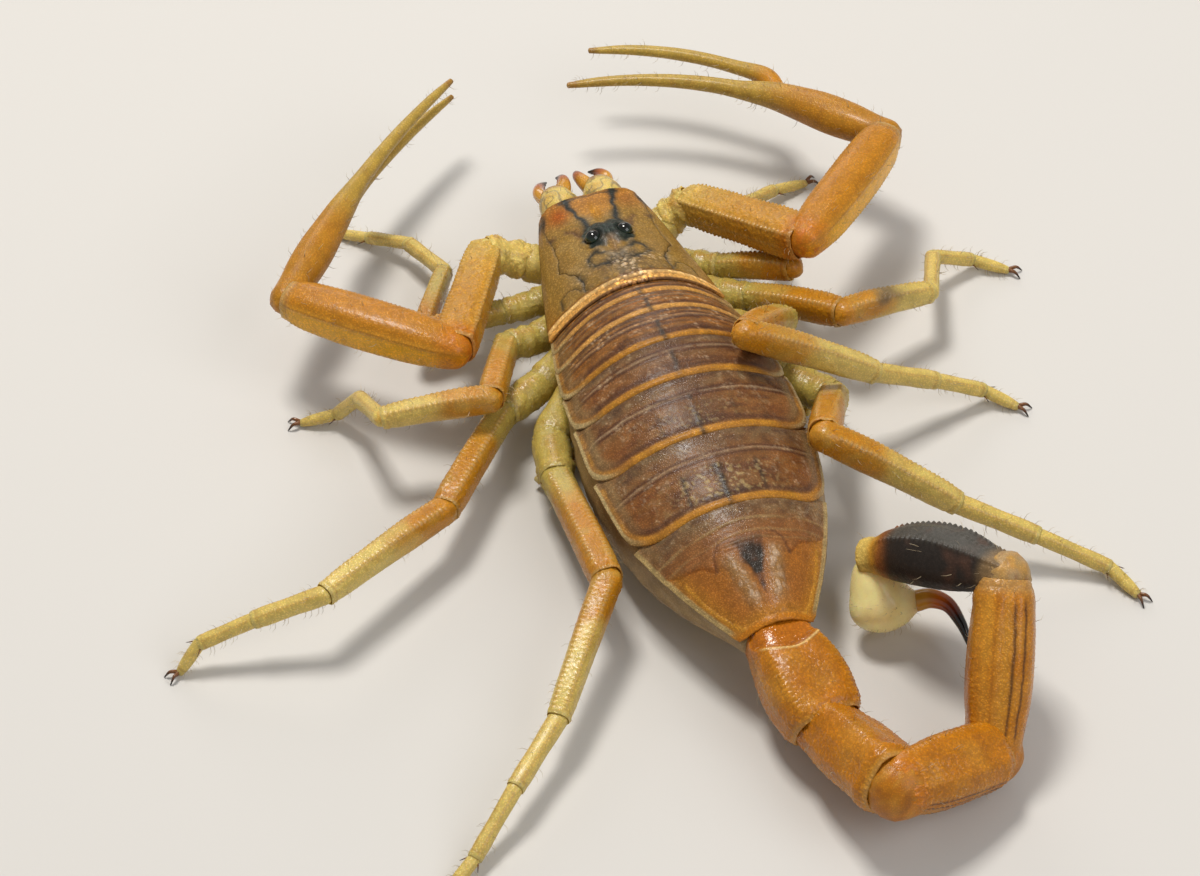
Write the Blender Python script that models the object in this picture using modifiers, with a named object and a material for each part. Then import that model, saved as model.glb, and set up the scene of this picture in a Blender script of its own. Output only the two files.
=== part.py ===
"""Desert scorpion, life size, standing with its tail curled round to its right side.

Lengths are millimetres in the body's own frame: +Y runs forward, +X to the animal's right,
+Z up, with the floor at z = 0 and y = 0 at the rear edge of the carapace. The empty
"scorpion" carries every part and moves that frame so that the origin is under the middle
of the whole animal.
"""
import bpy
import bmesh
import numpy as np
from math import sin, cos, radians, sqrt, pi
from mathutils import Vector

MM = 0.001
GAP = 0.3                        # clearance left wherever two plates or joints meet
DOME = (0.75, 0.55)              # how far a rod's rounded end reaches and how wide it ends, in radii
WAIST = 0.85                     # a leg joint's width where a link begins, over the link's own
FRAME_SHIFT = (4.0, 8.4)         # where the body's frame stands from the middle of the animal

# ---- shell of the back: y, half width, height of the crown, height of the side edge
BACK_PROFILE = [
    (10.2, 3.0, 5.8, 5.05),      # front edge of the carapace
    (8.0, 3.65, 6.15, 4.95),
    (5.8, 4.15, 6.5, 4.85),      # level of the eyes
    (3.0, 4.75, 7.2, 4.8),
    (0.0, 5.35, 8.1, 4.8),       # rear edge of the carapace
    (-3.1, 5.95, 8.9, 5.3),
    (-5.9, 6.3, 9.3, 5.75),
    (-9.0, 6.5, 9.2, 6.2),       # broadest point
    (-13.0, 6.5, 8.6, 5.85),
    (-18.1, 5.6, 8.0, 5.15),
    (-22.0, 4.1, 7.2, 5.1),
    (-25.8, 2.15, 6.2, 5.1),     # rear edge of the last tergite
]
BACK_ROUNDNESS = 2.2             # exponent of the arch from side to side
BELLY_ROUNDNESS = 0.75           # exponent of the belly's section, below 1 for a squarer one
BELLY_MIDDLE = 0.35              # level of its broadest line between its bottom and the shell
PLATE_THICKNESS = 0.6
CARAPACE_FRONT = 10.2
TERGITE_REARS = [-1.15, -3.1, -5.9, -8.9, -13.0, -18.1, -25.8]
TUBERCLE = dict(y=5.8, height=0.55, half_width=1.15, half_length=1.2)
EYE = dict(x=1.0, y=5.85, z=6.95, radius=0.48, clearance=0.1)

# ---- underside: y, height of the belly, half width
BELLY_PROFILE = [
    (-0.2, 4.2, 4.5), (-3.0, 4.3, 5.4), (-5.6, 4.3, 6.0), (-7.4, 3.9, 6.4), (-9.5, 1.8, 6.8),
    (-12.0, 1.4, 6.9), (-15.0, 1.4, 6.6), (-18.5, 1.7, 5.7), (-22.0, 2.4, 4.2), (-25.5, 3.2, 2.0),
]
COXA_PLATE = [
    (9.3, 2.6, 2.4), (7.0, 2.0, 3.3), (4.0, 1.5, 3.9), (1.0, 1.4, 3.9), (-1.5, 1.5, 2.6), (-3.4, 1.9, 1.2),
]

COXA_PLATE_TOP = (4.4, 3.85)     # below the carapace, and further back below the belly

# ---- legs: for pairs 1 to 4, the length and the half width of each link from the hip out:
# trochanter, femur, patella, tibia, basitarsus and telotarsus
LEG_LENGTHS = {
    1: (2.0, 5.3, 5.9, 4.0, 3.2, 2.3),
    2: (2.2, 6.9, 6.6, 4.3, 3.1, 2.3),
    3: (3.3, 8.8, 9.7, 4.5, 3.5, 2.2),
    4: (3.6, 9.7, 9.3, 5.1, 4.6, 2.3),
}
LEG_RADII = {
    1: (0.8, 0.72, 0.68, 0.5, 0.42, 0.36),
    2: (0.9, 0.85, 0.8, 0.55, 0.45, 0.38),
    3: (1.0, 0.9, 0.85, 0.6, 0.48, 0.4),
    4: (1.1, 1.0, 0.9, 0.62, 0.5, 0.42),
}
COXA_THICKNESS = 0.95            # of a coxa over the trochanter that follows it
COXA_ROOTS = {1: (2.0, 6.2, 2.6), 2: (2.0, 4.4, 2.5), 3: (2.0, 2.6, 2.5), 4: (2.0, 1.2, 2.5)}
HIPS = {1: (5.1, 5.3, 2.8), 2: (5.8, 2.4, 2.8), 3: (6.5, -1.2, 2.8), 4: (7.4, -5.6, 2.8)}
LEG_DEPTH = 1.1                  # height of a femur or patella over its width
CLAW = dict(reach=1.0, spread=0.5, root=0.7, radius=0.26)
SOLE = 0.28                      # height of the last joint's centre over the floor

# ---- how each leg is held: heading of each link and height of the joint at its far end.
# Headings are degrees away from straight ahead, positive outwards from the body.
LEG_POSE = {
    "left_1": [(88, 2.7), (93, 2.9), (-30, 2.4), (20, 1.7), (42, 0.7), (50, SOLE)],
    "left_2": [(104, 3.5), (156, 5.9), (80, 5.4), (8, 3.4), (40, 0.9), (75, SOLE)],
    "left_3": [(118, 3.0), (140, 3.6), (118, 4.4), (82, 3.1), (84, 1.9), (105, SOLE)],
    "left_4": [(170, 3.2), (-179, 4.7), (144, 3.0), (134, 2.5), (130, 0.9), (122, SOLE)],
    "right_1": [(130, 3.2), (134, 5.2), (4, 2.6), (-8, 1.9), (60, 0.8), (80, SOLE)],
    "right_2": [(128, 3.1), (140, 5.3), (78, 3.5), (22, 2.3), (85, 0.8), (120, SOLE)],
    "right_3": [(135, 4.9), (218, 10.6), (95, 5.0), (90, 2.8), (94, 1.0), (128, SOLE)],
    "right_4": [(144, 3.2), (203, 8.8), (117, 3.9), (123, 2.3), (125, 0.8), (155, SOLE)],
}

# ---- pincer arms: joints from the coxa out to the wrist, then the hand
ARM_JOINTS = {
    "left": [(-2.6, 6.9, 2.9), (-4.7, 8.3, 3.5), (-7.1, 8.6, 4.6), (-11.5, 0.1, 6.4), (-20.0, 7.3, 6.6)],
    "right": [(2.6, 6.9, 2.9), (4.5, 8.6, 3.6), (6.1, 8.3, 4.8), (10.9, 0.3, 7.8), (18.9, 8.1, 6.6)],
}
ARM_COXA_RADIUS = 1.05
ARM_SECTIONS = [
    ("trochanter", (1.0, 1.2, 1.15)),
    ("femur", (1.1, 1.35, 1.25)),
    ("patella", (1.25, 1.5, 1.25)),
]
HAND_RADII = (1.0, 1.25, 0.95)
HAND_LENGTH = 8.6
FINGER_LENGTH = 12.8
FIXED_FINGER_RADII = (0.8, 0.28)
MOVING_FINGER_RADII = (0.5, 0.26)
FINGER_SPACING = 1.4             # between the two fingers' centres where they leave the hand
FINGER_STEPS = 6
KNUCKLE_GAP = 0.95               # how far past the knuckle the moving finger begins
HAND_POSE = {                    # roll turns the moving finger from the outer side to below
    "left": dict(heading=39, drop=0.4, finger_heading=47, finger_drop=0.6, opening=-3, bow=-0.4, roll=70),
    "right": dict(heading=-38, drop=0.8, finger_heading=-63, finger_drop=0.6, opening=8, bow=0.9, roll=0),
}

# ---- tail: joints from the last tergite out, half widths at start, middle and end
TAIL_JOINTS = [
    (0.1, -26.1, 4.4), (1.0, -31.7, 3.0), (2.9, -38.1, 4.7), (9.4, -35.9, 2.1), (12.5, -29.3, 9.0),
    (6.9, -22.0, 4.7),
]
TAIL_WIDTHS = [(2.1, 2.45, 2.2), (1.95, 2.2, 2.25), (2.0, 2.25, 2.1), (1.8, 2.1, 1.8), (1.5, 1.85, 1.2)]
TAIL_DEPTH = 0.92                # height of a tail segment over its width
TAIL_AHEAD = Vector((0, 3, 0))   # from the first joint towards the last tergite
BULB_AXIS = ((6.52, -24.06, 2.31), (8.39, -24.36, 2.5))
BULB_RADII = (1.47, 1.55, 1.2)
STING = [(9.75, -24.6, 2.65), (10.5, -25.2, 2.65), (10.95, -26.6, 2.3), (10.95, -28.4, 1.7)]
STING_RADII = (0.66, 0.5, 0.38, 0.26)

# ---- jaws: both ends of each piece on the right side, and the half widths along it
CHELICERA = {
    "palm": ((1.45, 10.6, 3.9), (1.6, 12.3, 3.7)),
    "fixed_finger": ((1.0, 12.6, 4.0), (0.75, 14.2, 3.5)),
    "moving_finger": ((2.15, 13.4, 3.3), (1.45, 14.5, 3.0)),
}
CHELICERA_RADII = {
    "palm": (1.15, 1.2, 0.95),
    "fixed_finger": (0.45, 0.4, 0.26),
    "moving_finger": (0.36, 0.36, 0.26),
}

# ---- combs under the body: heading of the shaft, sizes of the shaft and of the first tooth
PECTEN = dict(root=(1.3, -2.6), length=8.6, heading=118, teeth=18, shaft=0.9, tooth=0.85, taper=0.55,
              height=0.72, thickness=0.55)
TOOTH = (0.12, 0.72, 0.86)       # outer corners and rear root of a comb tooth, in pitches

COLOURS = {
    "carapace": (0.52, 0.34, 0.12), "tergite": (0.30, 0.19, 0.12), "belly": (0.62, 0.52, 0.30),
    "arm": (0.72, 0.36, 0.07), "finger": (0.70, 0.45, 0.11), "leg": (0.66, 0.45, 0.13),
    "tail": (0.62, 0.28, 0.05), "dark": (0.06, 0.05, 0.05), "vesicle": (0.78, 0.62, 0.25),
    "sting": (0.10, 0.03, 0.015), "eye": (0.01, 0.015, 0.012),
}

for old in list(bpy.data.objects):
    bpy.data.objects.remove(old, do_unlink=True)

scene_root = bpy.context.scene.collection
parts = bpy.data.collections.new("desert_scorpion")
cutters = bpy.data.collections.new("cutters")
scene_root.children.link(parts)
scene_root.children.link(cutters)

root = bpy.data.objects.new("scorpion", None)
root.location = (FRAME_SHIFT[0] * MM, FRAME_SHIFT[1] * MM, 0.0)
parts.objects.link(root)


# ---------------------------------------------------------------- helpers
def material(name, colour, roughness=0.4):
    mat = bpy.data.materials.new(name)
    mat.use_nodes = True
    shader = mat.node_tree.nodes["Principled BSDF"]
    shader.inputs["Base Color"].default_value = (*colour, 1.0)
    shader.inputs["Roughness"].default_value = roughness
    shader.inputs["Metallic"].default_value = 0.0
    return mat


def add_object(name, bm, origin, collection=None):
    """Object under the root empty whose own origin is at the given point of the body's frame."""
    origin = Vector(origin)
    bmesh.ops.translate(bm, verts=bm.verts, vec=-origin)
    bmesh.ops.scale(bm, verts=bm.verts, vec=(MM, MM, MM))
    bmesh.ops.recalc_face_normals(bm, faces=bm.faces)
    mesh = bpy.data.meshes.new(name)
    bm.to_mesh(mesh)
    bm.free()
    obj = bpy.data.objects.new(name, mesh)
    obj.location = origin * MM
    obj.parent = root
    (collection or parts).objects.link(obj)
    return obj


def add_part(name, bm, origin, colour, roughness=0.4):
    obj = add_object(name, bm, origin)
    obj.data.materials.append(material(name, COLOURS[colour], roughness))
    obj.data.shade_smooth()
    obj.data.set_sharp_from_angle(angle=radians(40))
    return obj


def add_boolean(obj, bm, operation):
    """Join or cut obj with the bodies in bm."""
    tool = add_object(obj.name + "_tool", bm, (0, 0, 0), cutters)
    tool.hide_render = True
    tool.display_type = 'WIRE'
    mod = obj.modifiers.new(operation.lower(), 'BOOLEAN')
    mod.operation = operation
    mod.solver = 'EXACT'
    mod.use_self = True
    mod.object = tool


def bridge(bm, rings):
    """Closed body through rings of the same number of points, capped at both ends."""
    loops = [[bm.verts.new(p) for p in ring] for ring in rings]
    for a, b in zip(loops, loops[1:]):
        for i in range(len(a)):
            j = (i + 1) % len(a)
            bm.faces.new((a[i], a[j], b[j], b[i]))
    bm.faces.new(loops[0])
    bm.faces.new(reversed(loops[-1]))


def ellipse(centre, side, up, half_width, half_height, sides):
    turns = [2 * pi * (i + 0.5) / sides for i in range(sides)]
    return [centre + side * (half_width * cos(a)) + up * (half_height * sin(a)) for a in turns]


def add_rod(bm, start, end, radii, depth=1.0, sides=8, up=(0, 0, 1)):
    """Rod with domed ends: radii at the start, along the middle and at the end, or at two ends."""
    start, end = Vector(start), Vector(end)
    axis = (end - start).normalized()
    side = axis.cross(Vector(up)).normalized()
    top = side.cross(axis)
    length = (end - start).length
    first, *middle, last = radii
    reach, blunt = DOME
    stations = [(-reach * first, blunt * first), (0, first)]
    stations += [(part * length, middle[0]) for part in (0.3, 0.7) if middle]
    stations += [(length, last), (length + reach * last, blunt * last)]
    bridge(bm, [ellipse(start + axis * at, side, top, r, r * depth, sides) for at, r in stations])


def trim(bm, point, normal):
    """Cut off what lies beyond a plane, on the side its normal points to, and close the cut."""
    geometry = bm.verts[:] + bm.edges[:] + bm.faces[:]
    bmesh.ops.bisect_plane(bm, geom=geometry, plane_co=point, plane_no=normal, clear_outer=True)
    rim = [edge for edge in bm.edges if edge.is_boundary]
    if rim:
        bmesh.ops.edgenet_fill(bm, edges=rim)


def joint_normal(before, joint, after):
    """Normal of the plane that halves the angle at a joint, pointing outwards along the limb."""
    into = (Vector(joint) - Vector(before)).normalized()
    out = (Vector(after) - Vector(joint)).normalized()
    return (into + out).normalized()


def link_body(joints, i, radii, depth=1.0, sides=8, up=(0, 0, 1), open_start=False, open_end=False):
    """Link i of a limb, halved at the joints that it shares with another part."""
    bm = bmesh.new()
    add_rod(bm, joints[i], joints[i + 1], radii, depth, sides, up)
    if not open_start and i > 0:
        normal = joint_normal(joints[i - 1], joints[i], joints[i + 1])
        trim(bm, Vector(joints[i]) + normal * (GAP / 2), -normal)
    if not open_end and i + 2 < len(joints):
        normal = joint_normal(joints[i], joints[i + 1], joints[i + 2])
        trim(bm, Vector(joints[i + 1]) - normal * (GAP / 2), normal)
    return bm


# ---------------------------------------------------------------- trunk
def back_at(y):
    """Half width, crown height and edge height of the shell at a distance along the body."""
    table = np.array(BACK_PROFILE)[::-1]
    return [float(np.interp(y, table[:, 0], table[:, k])) for k in (1, 2, 3)]


def back_height(x, y):
    half_width, crown, edge = back_at(y)
    arch = 1.0 - min(abs(x) / half_width, 1.0) ** BACK_ROUNDNESS
    bump = ((x / TUBERCLE["half_width"]) ** 2 + ((y - TUBERCLE["y"]) / TUBERCLE["half_length"]) ** 2)
    return edge + (crown - edge) * arch + TUBERCLE["height"] / (1.0 + bump ** 2)


def underside_height(x, y):
    """Highest that anything under the shell may reach."""
    half_width, crown, edge = back_at(y)
    across = min(abs(x) / half_width, 1.0)
    slope = BACK_ROUNDNESS * (crown - edge) / half_width * across ** (BACK_ROUNDNESS - 1)
    arch = edge + (crown - edge) * (1.0 - across ** BACK_ROUNDNESS)
    return arch - (PLATE_THICKNESS + GAP) * sqrt(1.0 + slope ** 2)


def add_plate(name, front, rear, columns, rows, colour):
    """One plate of the back, an arched sheet given its thickness inwards."""
    bm = bmesh.new()
    bmesh.ops.create_grid(bm, x_segments=columns, y_segments=rows, size=1.0)
    middle = (front + rear) / 2
    for vert in bm.verts:
        y = middle + vert.co.y * (front - rear) / 2
        x = vert.co.x * back_at(y)[0]
        vert.co = (x, y, back_height(x, y))
    obj = add_part(name, bm, (0, middle, back_at(middle)[1]), colour)
    solid = obj.modifiers.new("thickness", 'SOLIDIFY')
    solid.thickness = PLATE_THICKNESS * MM
    solid.offset = -1.0
    return obj


def under_section(y, bottom, half_width, points=16):
    """Section of the soft body under the shell, round at the sides and flat below."""
    edge = back_at(y)[2]
    middle = bottom + BELLY_MIDDLE * (edge - PLATE_THICKNESS - bottom)
    section = []
    for i in range(points):
        turn = 2 * pi * (i + 0.5) / points
        x = half_width * np.sign(cos(turn)) * abs(cos(turn)) ** BELLY_ROUNDNESS
        if sin(turn) > 0:
            z = underside_height(x, y)
        else:
            z = middle - (middle - bottom) * abs(sin(turn)) ** BELLY_ROUNDNESS
        section.append(Vector((x, y, z)))
    return section


def build_trunk():
    carapace = add_plate("carapace", CARAPACE_FRONT, 0.0, 12, 12, "carapace")
    sockets = bmesh.new()
    for side in (-1, 1):
        spot = Vector((side * EYE["x"], EYE["y"], EYE["z"]))
        socket = bmesh.ops.create_uvsphere(sockets, u_segments=10, v_segments=6,
                                           radius=EYE["radius"] + EYE["clearance"])
        bmesh.ops.translate(sockets, verts=socket["verts"], vec=spot)
        bm = bmesh.new()
        bmesh.ops.create_uvsphere(bm, u_segments=10, v_segments=6, radius=EYE["radius"])
        bmesh.ops.translate(bm, verts=bm.verts, vec=spot)
        add_part("eye_left" if side < 0 else "eye_right", bm, spot, "eye", 0.05)
    add_boolean(carapace, sockets, 'DIFFERENCE')

    front = 0.0
    for number, rear in enumerate(TERGITE_REARS, start=1):
        rows = max(1, round((front - rear) / 2.0))
        add_plate("tergite_%d" % number, front - GAP, rear, 10, rows, "tergite")
        front = rear

    bm = bmesh.new()
    bridge(bm, [under_section(*row) for row in BELLY_PROFILE])
    add_part("abdomen_underside", bm, (0, BELLY_PROFILE[0][0], 3.0), "belly")


def build_coxae():
    """Underside of the front of the body, with the fixed first joints of the legs and arms."""
    across, up = Vector((1, 0, 0)), Vector((0, 0, 1))
    bm = bmesh.new()
    rings = []
    for y, bottom, half_width in COXA_PLATE:
        top = COXA_PLATE_TOP[0 if y > 2.0 else 1]
        top = min(underside_height(half_width, y), top)
        centre = Vector((0, y, (top + bottom) / 2))
        rings.append(ellipse(centre, across, up, half_width, (top - bottom) / 2, 12))
    bridge(bm, rings)
    obj = add_part("coxae", bm, (0, COXA_PLATE[0][0], 3.0), "belly")
    tools = bmesh.new()
    for side, sign in (("left", -1), ("right", 1)):
        limbs = [(ARM_JOINTS[side], ARM_COXA_RADIUS)]
        for number, (x, y, z) in COXA_ROOTS.items():
            joints = [Vector((sign * x, y, z))] + leg_joints("%s_%d" % (side, number))
            limbs.append((joints, LEG_RADII[number][0] * COXA_THICKNESS))
        for joints, radius in limbs:
            copy_into(tools, link_body(joints, 0, (radius, radius), sides=6))
    add_boolean(obj, tools, 'UNION')


def copy_into(target, source):
    mesh = bpy.data.meshes.new("copied")
    source.to_mesh(mesh)
    source.free()
    target.from_mesh(mesh)
    bpy.data.meshes.remove(mesh)


def build_chelicerae():
    """Pair of short jaws in front of the carapace, each with a fixed and a moving finger."""
    for side, sign in (("left", -1), ("right", 1)):
        points = {name: [Vector((x * sign, y, z)) for x, y, z in ends] for name, ends in CHELICERA.items()}
        bm = bmesh.new()
        add_rod(bm, *points["palm"], CHELICERA_RADII["palm"])
        trim(bm, (0, CARAPACE_FRONT + GAP, 0), (0, -1, 0))
        obj = add_part("chelicera_" + side, bm, points["palm"][0], "belly")
        finger = bmesh.new()
        add_rod(finger, *points["fixed_finger"], CHELICERA_RADII["fixed_finger"], sides=6)
        add_boolean(obj, finger, 'UNION')
        bm = bmesh.new()
        add_rod(bm, *points["moving_finger"], CHELICERA_RADII["moving_finger"], sides=6)
        add_part("chelicera_finger_" + side, bm, points["moving_finger"][0], "arm")


def build_pectines():
    """Comb-shaped feelers under the body, a flat shaft with a row of teeth on its rear edge."""
    for side, sign in (("left", -1), ("right", 1)):
        pitch = PECTEN["length"] / PECTEN["teeth"]
        shaft = PECTEN["shaft"]
        outline = [(0.0, 0.0), (0.0, -shaft)]
        for i in range(PECTEN["teeth"]):
            taper = 1.0 - PECTEN["taper"] * i / PECTEN["teeth"]
            root_depth = -shaft * taper
            tip_depth = root_depth - PECTEN["tooth"] * taper
            corners = zip(TOOTH, (tip_depth, tip_depth, root_depth))
            outline += [((i + along) * pitch, across) for along, across in corners]
        outline += [(PECTEN["length"], -shaft / 4), (0.75 * PECTEN["length"], 0.0)]
        curve = bpy.data.curves.new("pecten_" + side, 'CURVE')
        curve.dimensions = '2D'
        curve.fill_mode = 'BOTH'
        curve.extrude = PECTEN["thickness"] / 2 * MM
        spline = curve.splines.new('POLY')
        spline.points.add(len(outline) - 1)
        turn = radians(PECTEN["heading"] - 90)
        for point, (along, across) in zip(spline.points, outline):
            x = along * cos(turn) + across * sin(turn)
            y = -along * sin(turn) + across * cos(turn)
            point.co = (x * sign * MM, y * MM, 0, 1)
        spline.use_cyclic_u = True
        obj = bpy.data.objects.new("pecten_" + side, curve)
        obj.location = (PECTEN["root"][0] * sign * MM, PECTEN["root"][1] * MM, PECTEN["height"] * MM)
        obj.parent = root
        obj.data.materials.append(material("pecten_" + side, COLOURS["belly"]))
        parts.objects.link(obj)


# ---------------------------------------------------------------- limbs
def leg_joints(name):
    """Joints of a leg from its hip to its sole."""
    side, number = name.split("_")
    sign = -1 if side == "left" else 1
    x, y, z = HIPS[int(number)]
    joints = [Vector((sign * x, y, z))]
    for length, (heading, height) in zip(LEG_LENGTHS[int(number)], LEG_POSE[name]):
        last = joints[-1]
        run = sqrt(length ** 2 - (height - last.z) ** 2)
        turn = radians(heading)
        joints.append(Vector((last.x + sign * run * sin(turn), last.y + run * cos(turn), height)))
    return joints


def add_claws(bm, joint, before, radius):
    """Pair of claws that leave the tip of a leg at a slant and rest on the floor."""
    out = joint - before
    out.z = 0
    out.normalize()
    side = Vector((out.y, -out.x, 0))
    for sign in (-1, 1):
        tip = joint + out * CLAW["reach"] + side * (sign * CLAW["spread"])
        tip.z = CLAW["radius"]
        ends = ((joint, radius * CLAW["root"]), (tip, CLAW["radius"]))
        bridge(bm, [ellipse(centre, side, Vector((0, 0, 1)), r, r, 5) for centre, r in ends])


def build_leg(name):
    number = int(name[-1])
    sign = -1 if name.startswith("left") else 1
    root_point = COXA_ROOTS[number]
    joints = [Vector((sign * root_point[0], root_point[1], root_point[2]))] + leg_joints(name)
    r = LEG_RADII[number]

    bm = link_body(joints, 1, (r[0] * WAIST, r[0], r[1]), open_end=True)
    obj = add_part("leg_%s_femur" % name, bm, joints[1], "leg")
    tool = link_body(joints, 2, (r[1] * WAIST, r[1], r[1] * WAIST), LEG_DEPTH, open_start=True)
    add_boolean(obj, tool, 'UNION')

    bm = link_body(joints, 3, (r[2] * WAIST, r[2], r[3] * LEG_DEPTH), LEG_DEPTH)
    add_part("leg_%s_patella" % name, bm, joints[3], "leg")

    bm = link_body(joints, 4, (r[3], r[4]), open_end=True)
    obj = add_part("leg_%s_foot" % name, bm, joints[4], "leg")
    tool = bmesh.new()
    add_rod(tool, joints[5], joints[6], (r[4], r[5]), sides=6)
    add_rod(tool, joints[6], joints[7], (r[5], r[5] * WAIST), sides=6)
    add_claws(tool, joints[7], joints[6], r[5])
    trim(tool, (0, 0, 0), (0, 0, -1))
    add_boolean(obj, tool, 'UNION')


def heading_vector(heading, drop, length):
    turn = radians(heading)
    run = sqrt(length ** 2 - drop ** 2)
    return Vector((run * sin(turn), run * cos(turn), -drop))


def finger_rings(start, direction, bow, length, radii, sides=8):
    """Long finger that bows as it goes and narrows to its tip."""
    sideways = bow.normalized()
    up = sideways.cross(direction)
    rings = []
    for i in range(FINGER_STEPS + 1):
        t = i / FINGER_STEPS
        centre = start + direction * (length * t) + bow * (4 * t * (1 - t))
        radius = radii[0] + (radii[1] - radii[0]) * t
        rings.append(ellipse(centre, sideways, up, radius, radius, sides))
    return rings


def build_arm(side):
    """One pincer arm; the moving finger lies on the outer side of the hand, or below it."""
    outer = -1 if side == "left" else 1
    pose = HAND_POSE[side]
    joints = [Vector(p) for p in ARM_JOINTS[side]]
    knuckle = joints[-1] + heading_vector(pose["heading"], pose["drop"], HAND_LENGTH)
    joints.append(knuckle)
    for i, (part, radii) in enumerate(ARM_SECTIONS, start=1):
        bm = link_body(joints, i, radii, sides=10)
        add_part("pincer_%s_%s" % (side, part), bm, joints[i], "arm")

    axis = (knuckle - joints[-2]).normalized()
    level = Vector((axis.y, -axis.x, 0)).normalized() * outer
    roll = radians(pose["roll"])
    away = level * cos(roll) - Vector((0, 0, 1)) * sin(roll)

    fixed = heading_vector(pose["finger_heading"], pose["finger_drop"], FINGER_LENGTH).normalized()
    bow = Vector((fixed.y, -fixed.x, 0)).normalized() * pose["bow"]
    hand = add_part("pincer_%s_hand" % side, link_body(joints, 4, HAND_RADII, sides=10), joints[4], "arm")
    tool = bmesh.new()
    start = knuckle - away * (0.25 * FINGER_SPACING)
    bridge(tool, finger_rings(start, fixed, bow, FINGER_LENGTH, FIXED_FINGER_RADII))
    add_boolean(hand, tool, 'UNION')

    swung = pose["finger_heading"] + pose["opening"] * outer
    moving = heading_vector(swung, pose["finger_drop"], FINGER_LENGTH).normalized()
    start = knuckle + axis * KNUCKLE_GAP + away * (0.75 * FINGER_SPACING)
    bm = bmesh.new()
    bridge(bm, finger_rings(start, moving, bow, FINGER_LENGTH - KNUCKLE_GAP, MOVING_FINGER_RADII))
    add_part("pincer_%s_finger" % side, bm, start, "finger")


def build_tail():
    """Five segments, the bulb of the sting and the sting itself."""
    joints = [Vector(p) for p in TAIL_JOINTS]
    chain = [joints[0] + TAIL_AHEAD] + joints
    for i, widths in enumerate(TAIL_WIDTHS, start=1):
        bm = link_body(chain, i, widths, TAIL_DEPTH, sides=12)
        if i == 1:
            trim(bm, (0, BACK_PROFILE[-1][0] - GAP, 0), (0, 1, 0))
        trim(bm, (0, 0, 0), (0, 0, -1))
        add_part("tail_%d" % i, bm, chain[i], "dark" if i == 5 else "tail")

    bm = bmesh.new()
    add_rod(bm, *BULB_AXIS, BULB_RADII, sides=10)
    add_part("tail_bulb", bm, BULB_AXIS[0], "vesicle")

    points = [Vector(p) for p in STING]
    aheads = [b - a for a, b in zip([points[0]] + points, points[1:] + [points[-1]])]
    rings = []
    for point, ahead, radius in zip(points, aheads, STING_RADII):
        side = ahead.cross(Vector((0, 0, 1))).normalized()
        rings.append(ellipse(point, side, side.cross(ahead).normalized(), radius, radius, 8))
    bm = bmesh.new()
    bridge(bm, rings)
    add_part("tail_sting", bm, STING[0], "sting", 0.2)


build_trunk()
build_coxae()
build_chelicerae()
build_pectines()
for leg_name in LEG_POSE:
    build_leg(leg_name)
for arm_side in ("left", "right"):
    build_arm(arm_side)
build_tail()
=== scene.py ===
import bpy
import numpy as np
from math import radians, pi, sqrt
from mathutils import Matrix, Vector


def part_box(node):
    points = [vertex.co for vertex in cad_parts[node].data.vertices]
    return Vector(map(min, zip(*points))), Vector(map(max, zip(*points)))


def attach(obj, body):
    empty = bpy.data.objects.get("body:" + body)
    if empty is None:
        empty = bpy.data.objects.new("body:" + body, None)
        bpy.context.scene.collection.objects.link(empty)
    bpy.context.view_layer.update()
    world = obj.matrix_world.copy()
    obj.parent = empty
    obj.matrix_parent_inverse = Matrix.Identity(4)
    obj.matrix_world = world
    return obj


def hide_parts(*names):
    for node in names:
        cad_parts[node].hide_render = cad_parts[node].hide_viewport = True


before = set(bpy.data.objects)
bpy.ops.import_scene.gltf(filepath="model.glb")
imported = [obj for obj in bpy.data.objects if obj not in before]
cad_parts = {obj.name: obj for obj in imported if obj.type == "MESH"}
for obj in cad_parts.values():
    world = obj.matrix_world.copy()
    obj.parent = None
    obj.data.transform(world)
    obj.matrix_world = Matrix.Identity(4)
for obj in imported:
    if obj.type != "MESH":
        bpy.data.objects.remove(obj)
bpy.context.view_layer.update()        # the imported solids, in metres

mm = 0.001
print("desert scorpion: frame loaded")

# the body's own frame, in millimetres: y = 0 at the rear edge of the carapace, x to the right, floor at z = 0
eyes = {
    "x": 1.0, "y": 5.85, "z": 6.95,
    "radius": 0.48, "back": 0.3,
    "proud": 1.06,            # the glassy coat stands a little outside the ball
    "lateral": [(2.66, 9.7, 5.24, 0.15), (2.84, 9.4, 5.22, 0.13), (2.96, 9.1, 5.2, 0.11)],  # small side eyes
}
eyeCorners = [corner for node in ("eye_left", "eye_right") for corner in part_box(node)]
bodyOrigin = np.mean(np.array(eyeCorners), axis=0) / mm - (0, eyes["y"], eyes["z"])
bodyOrigin[2] = 0

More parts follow.
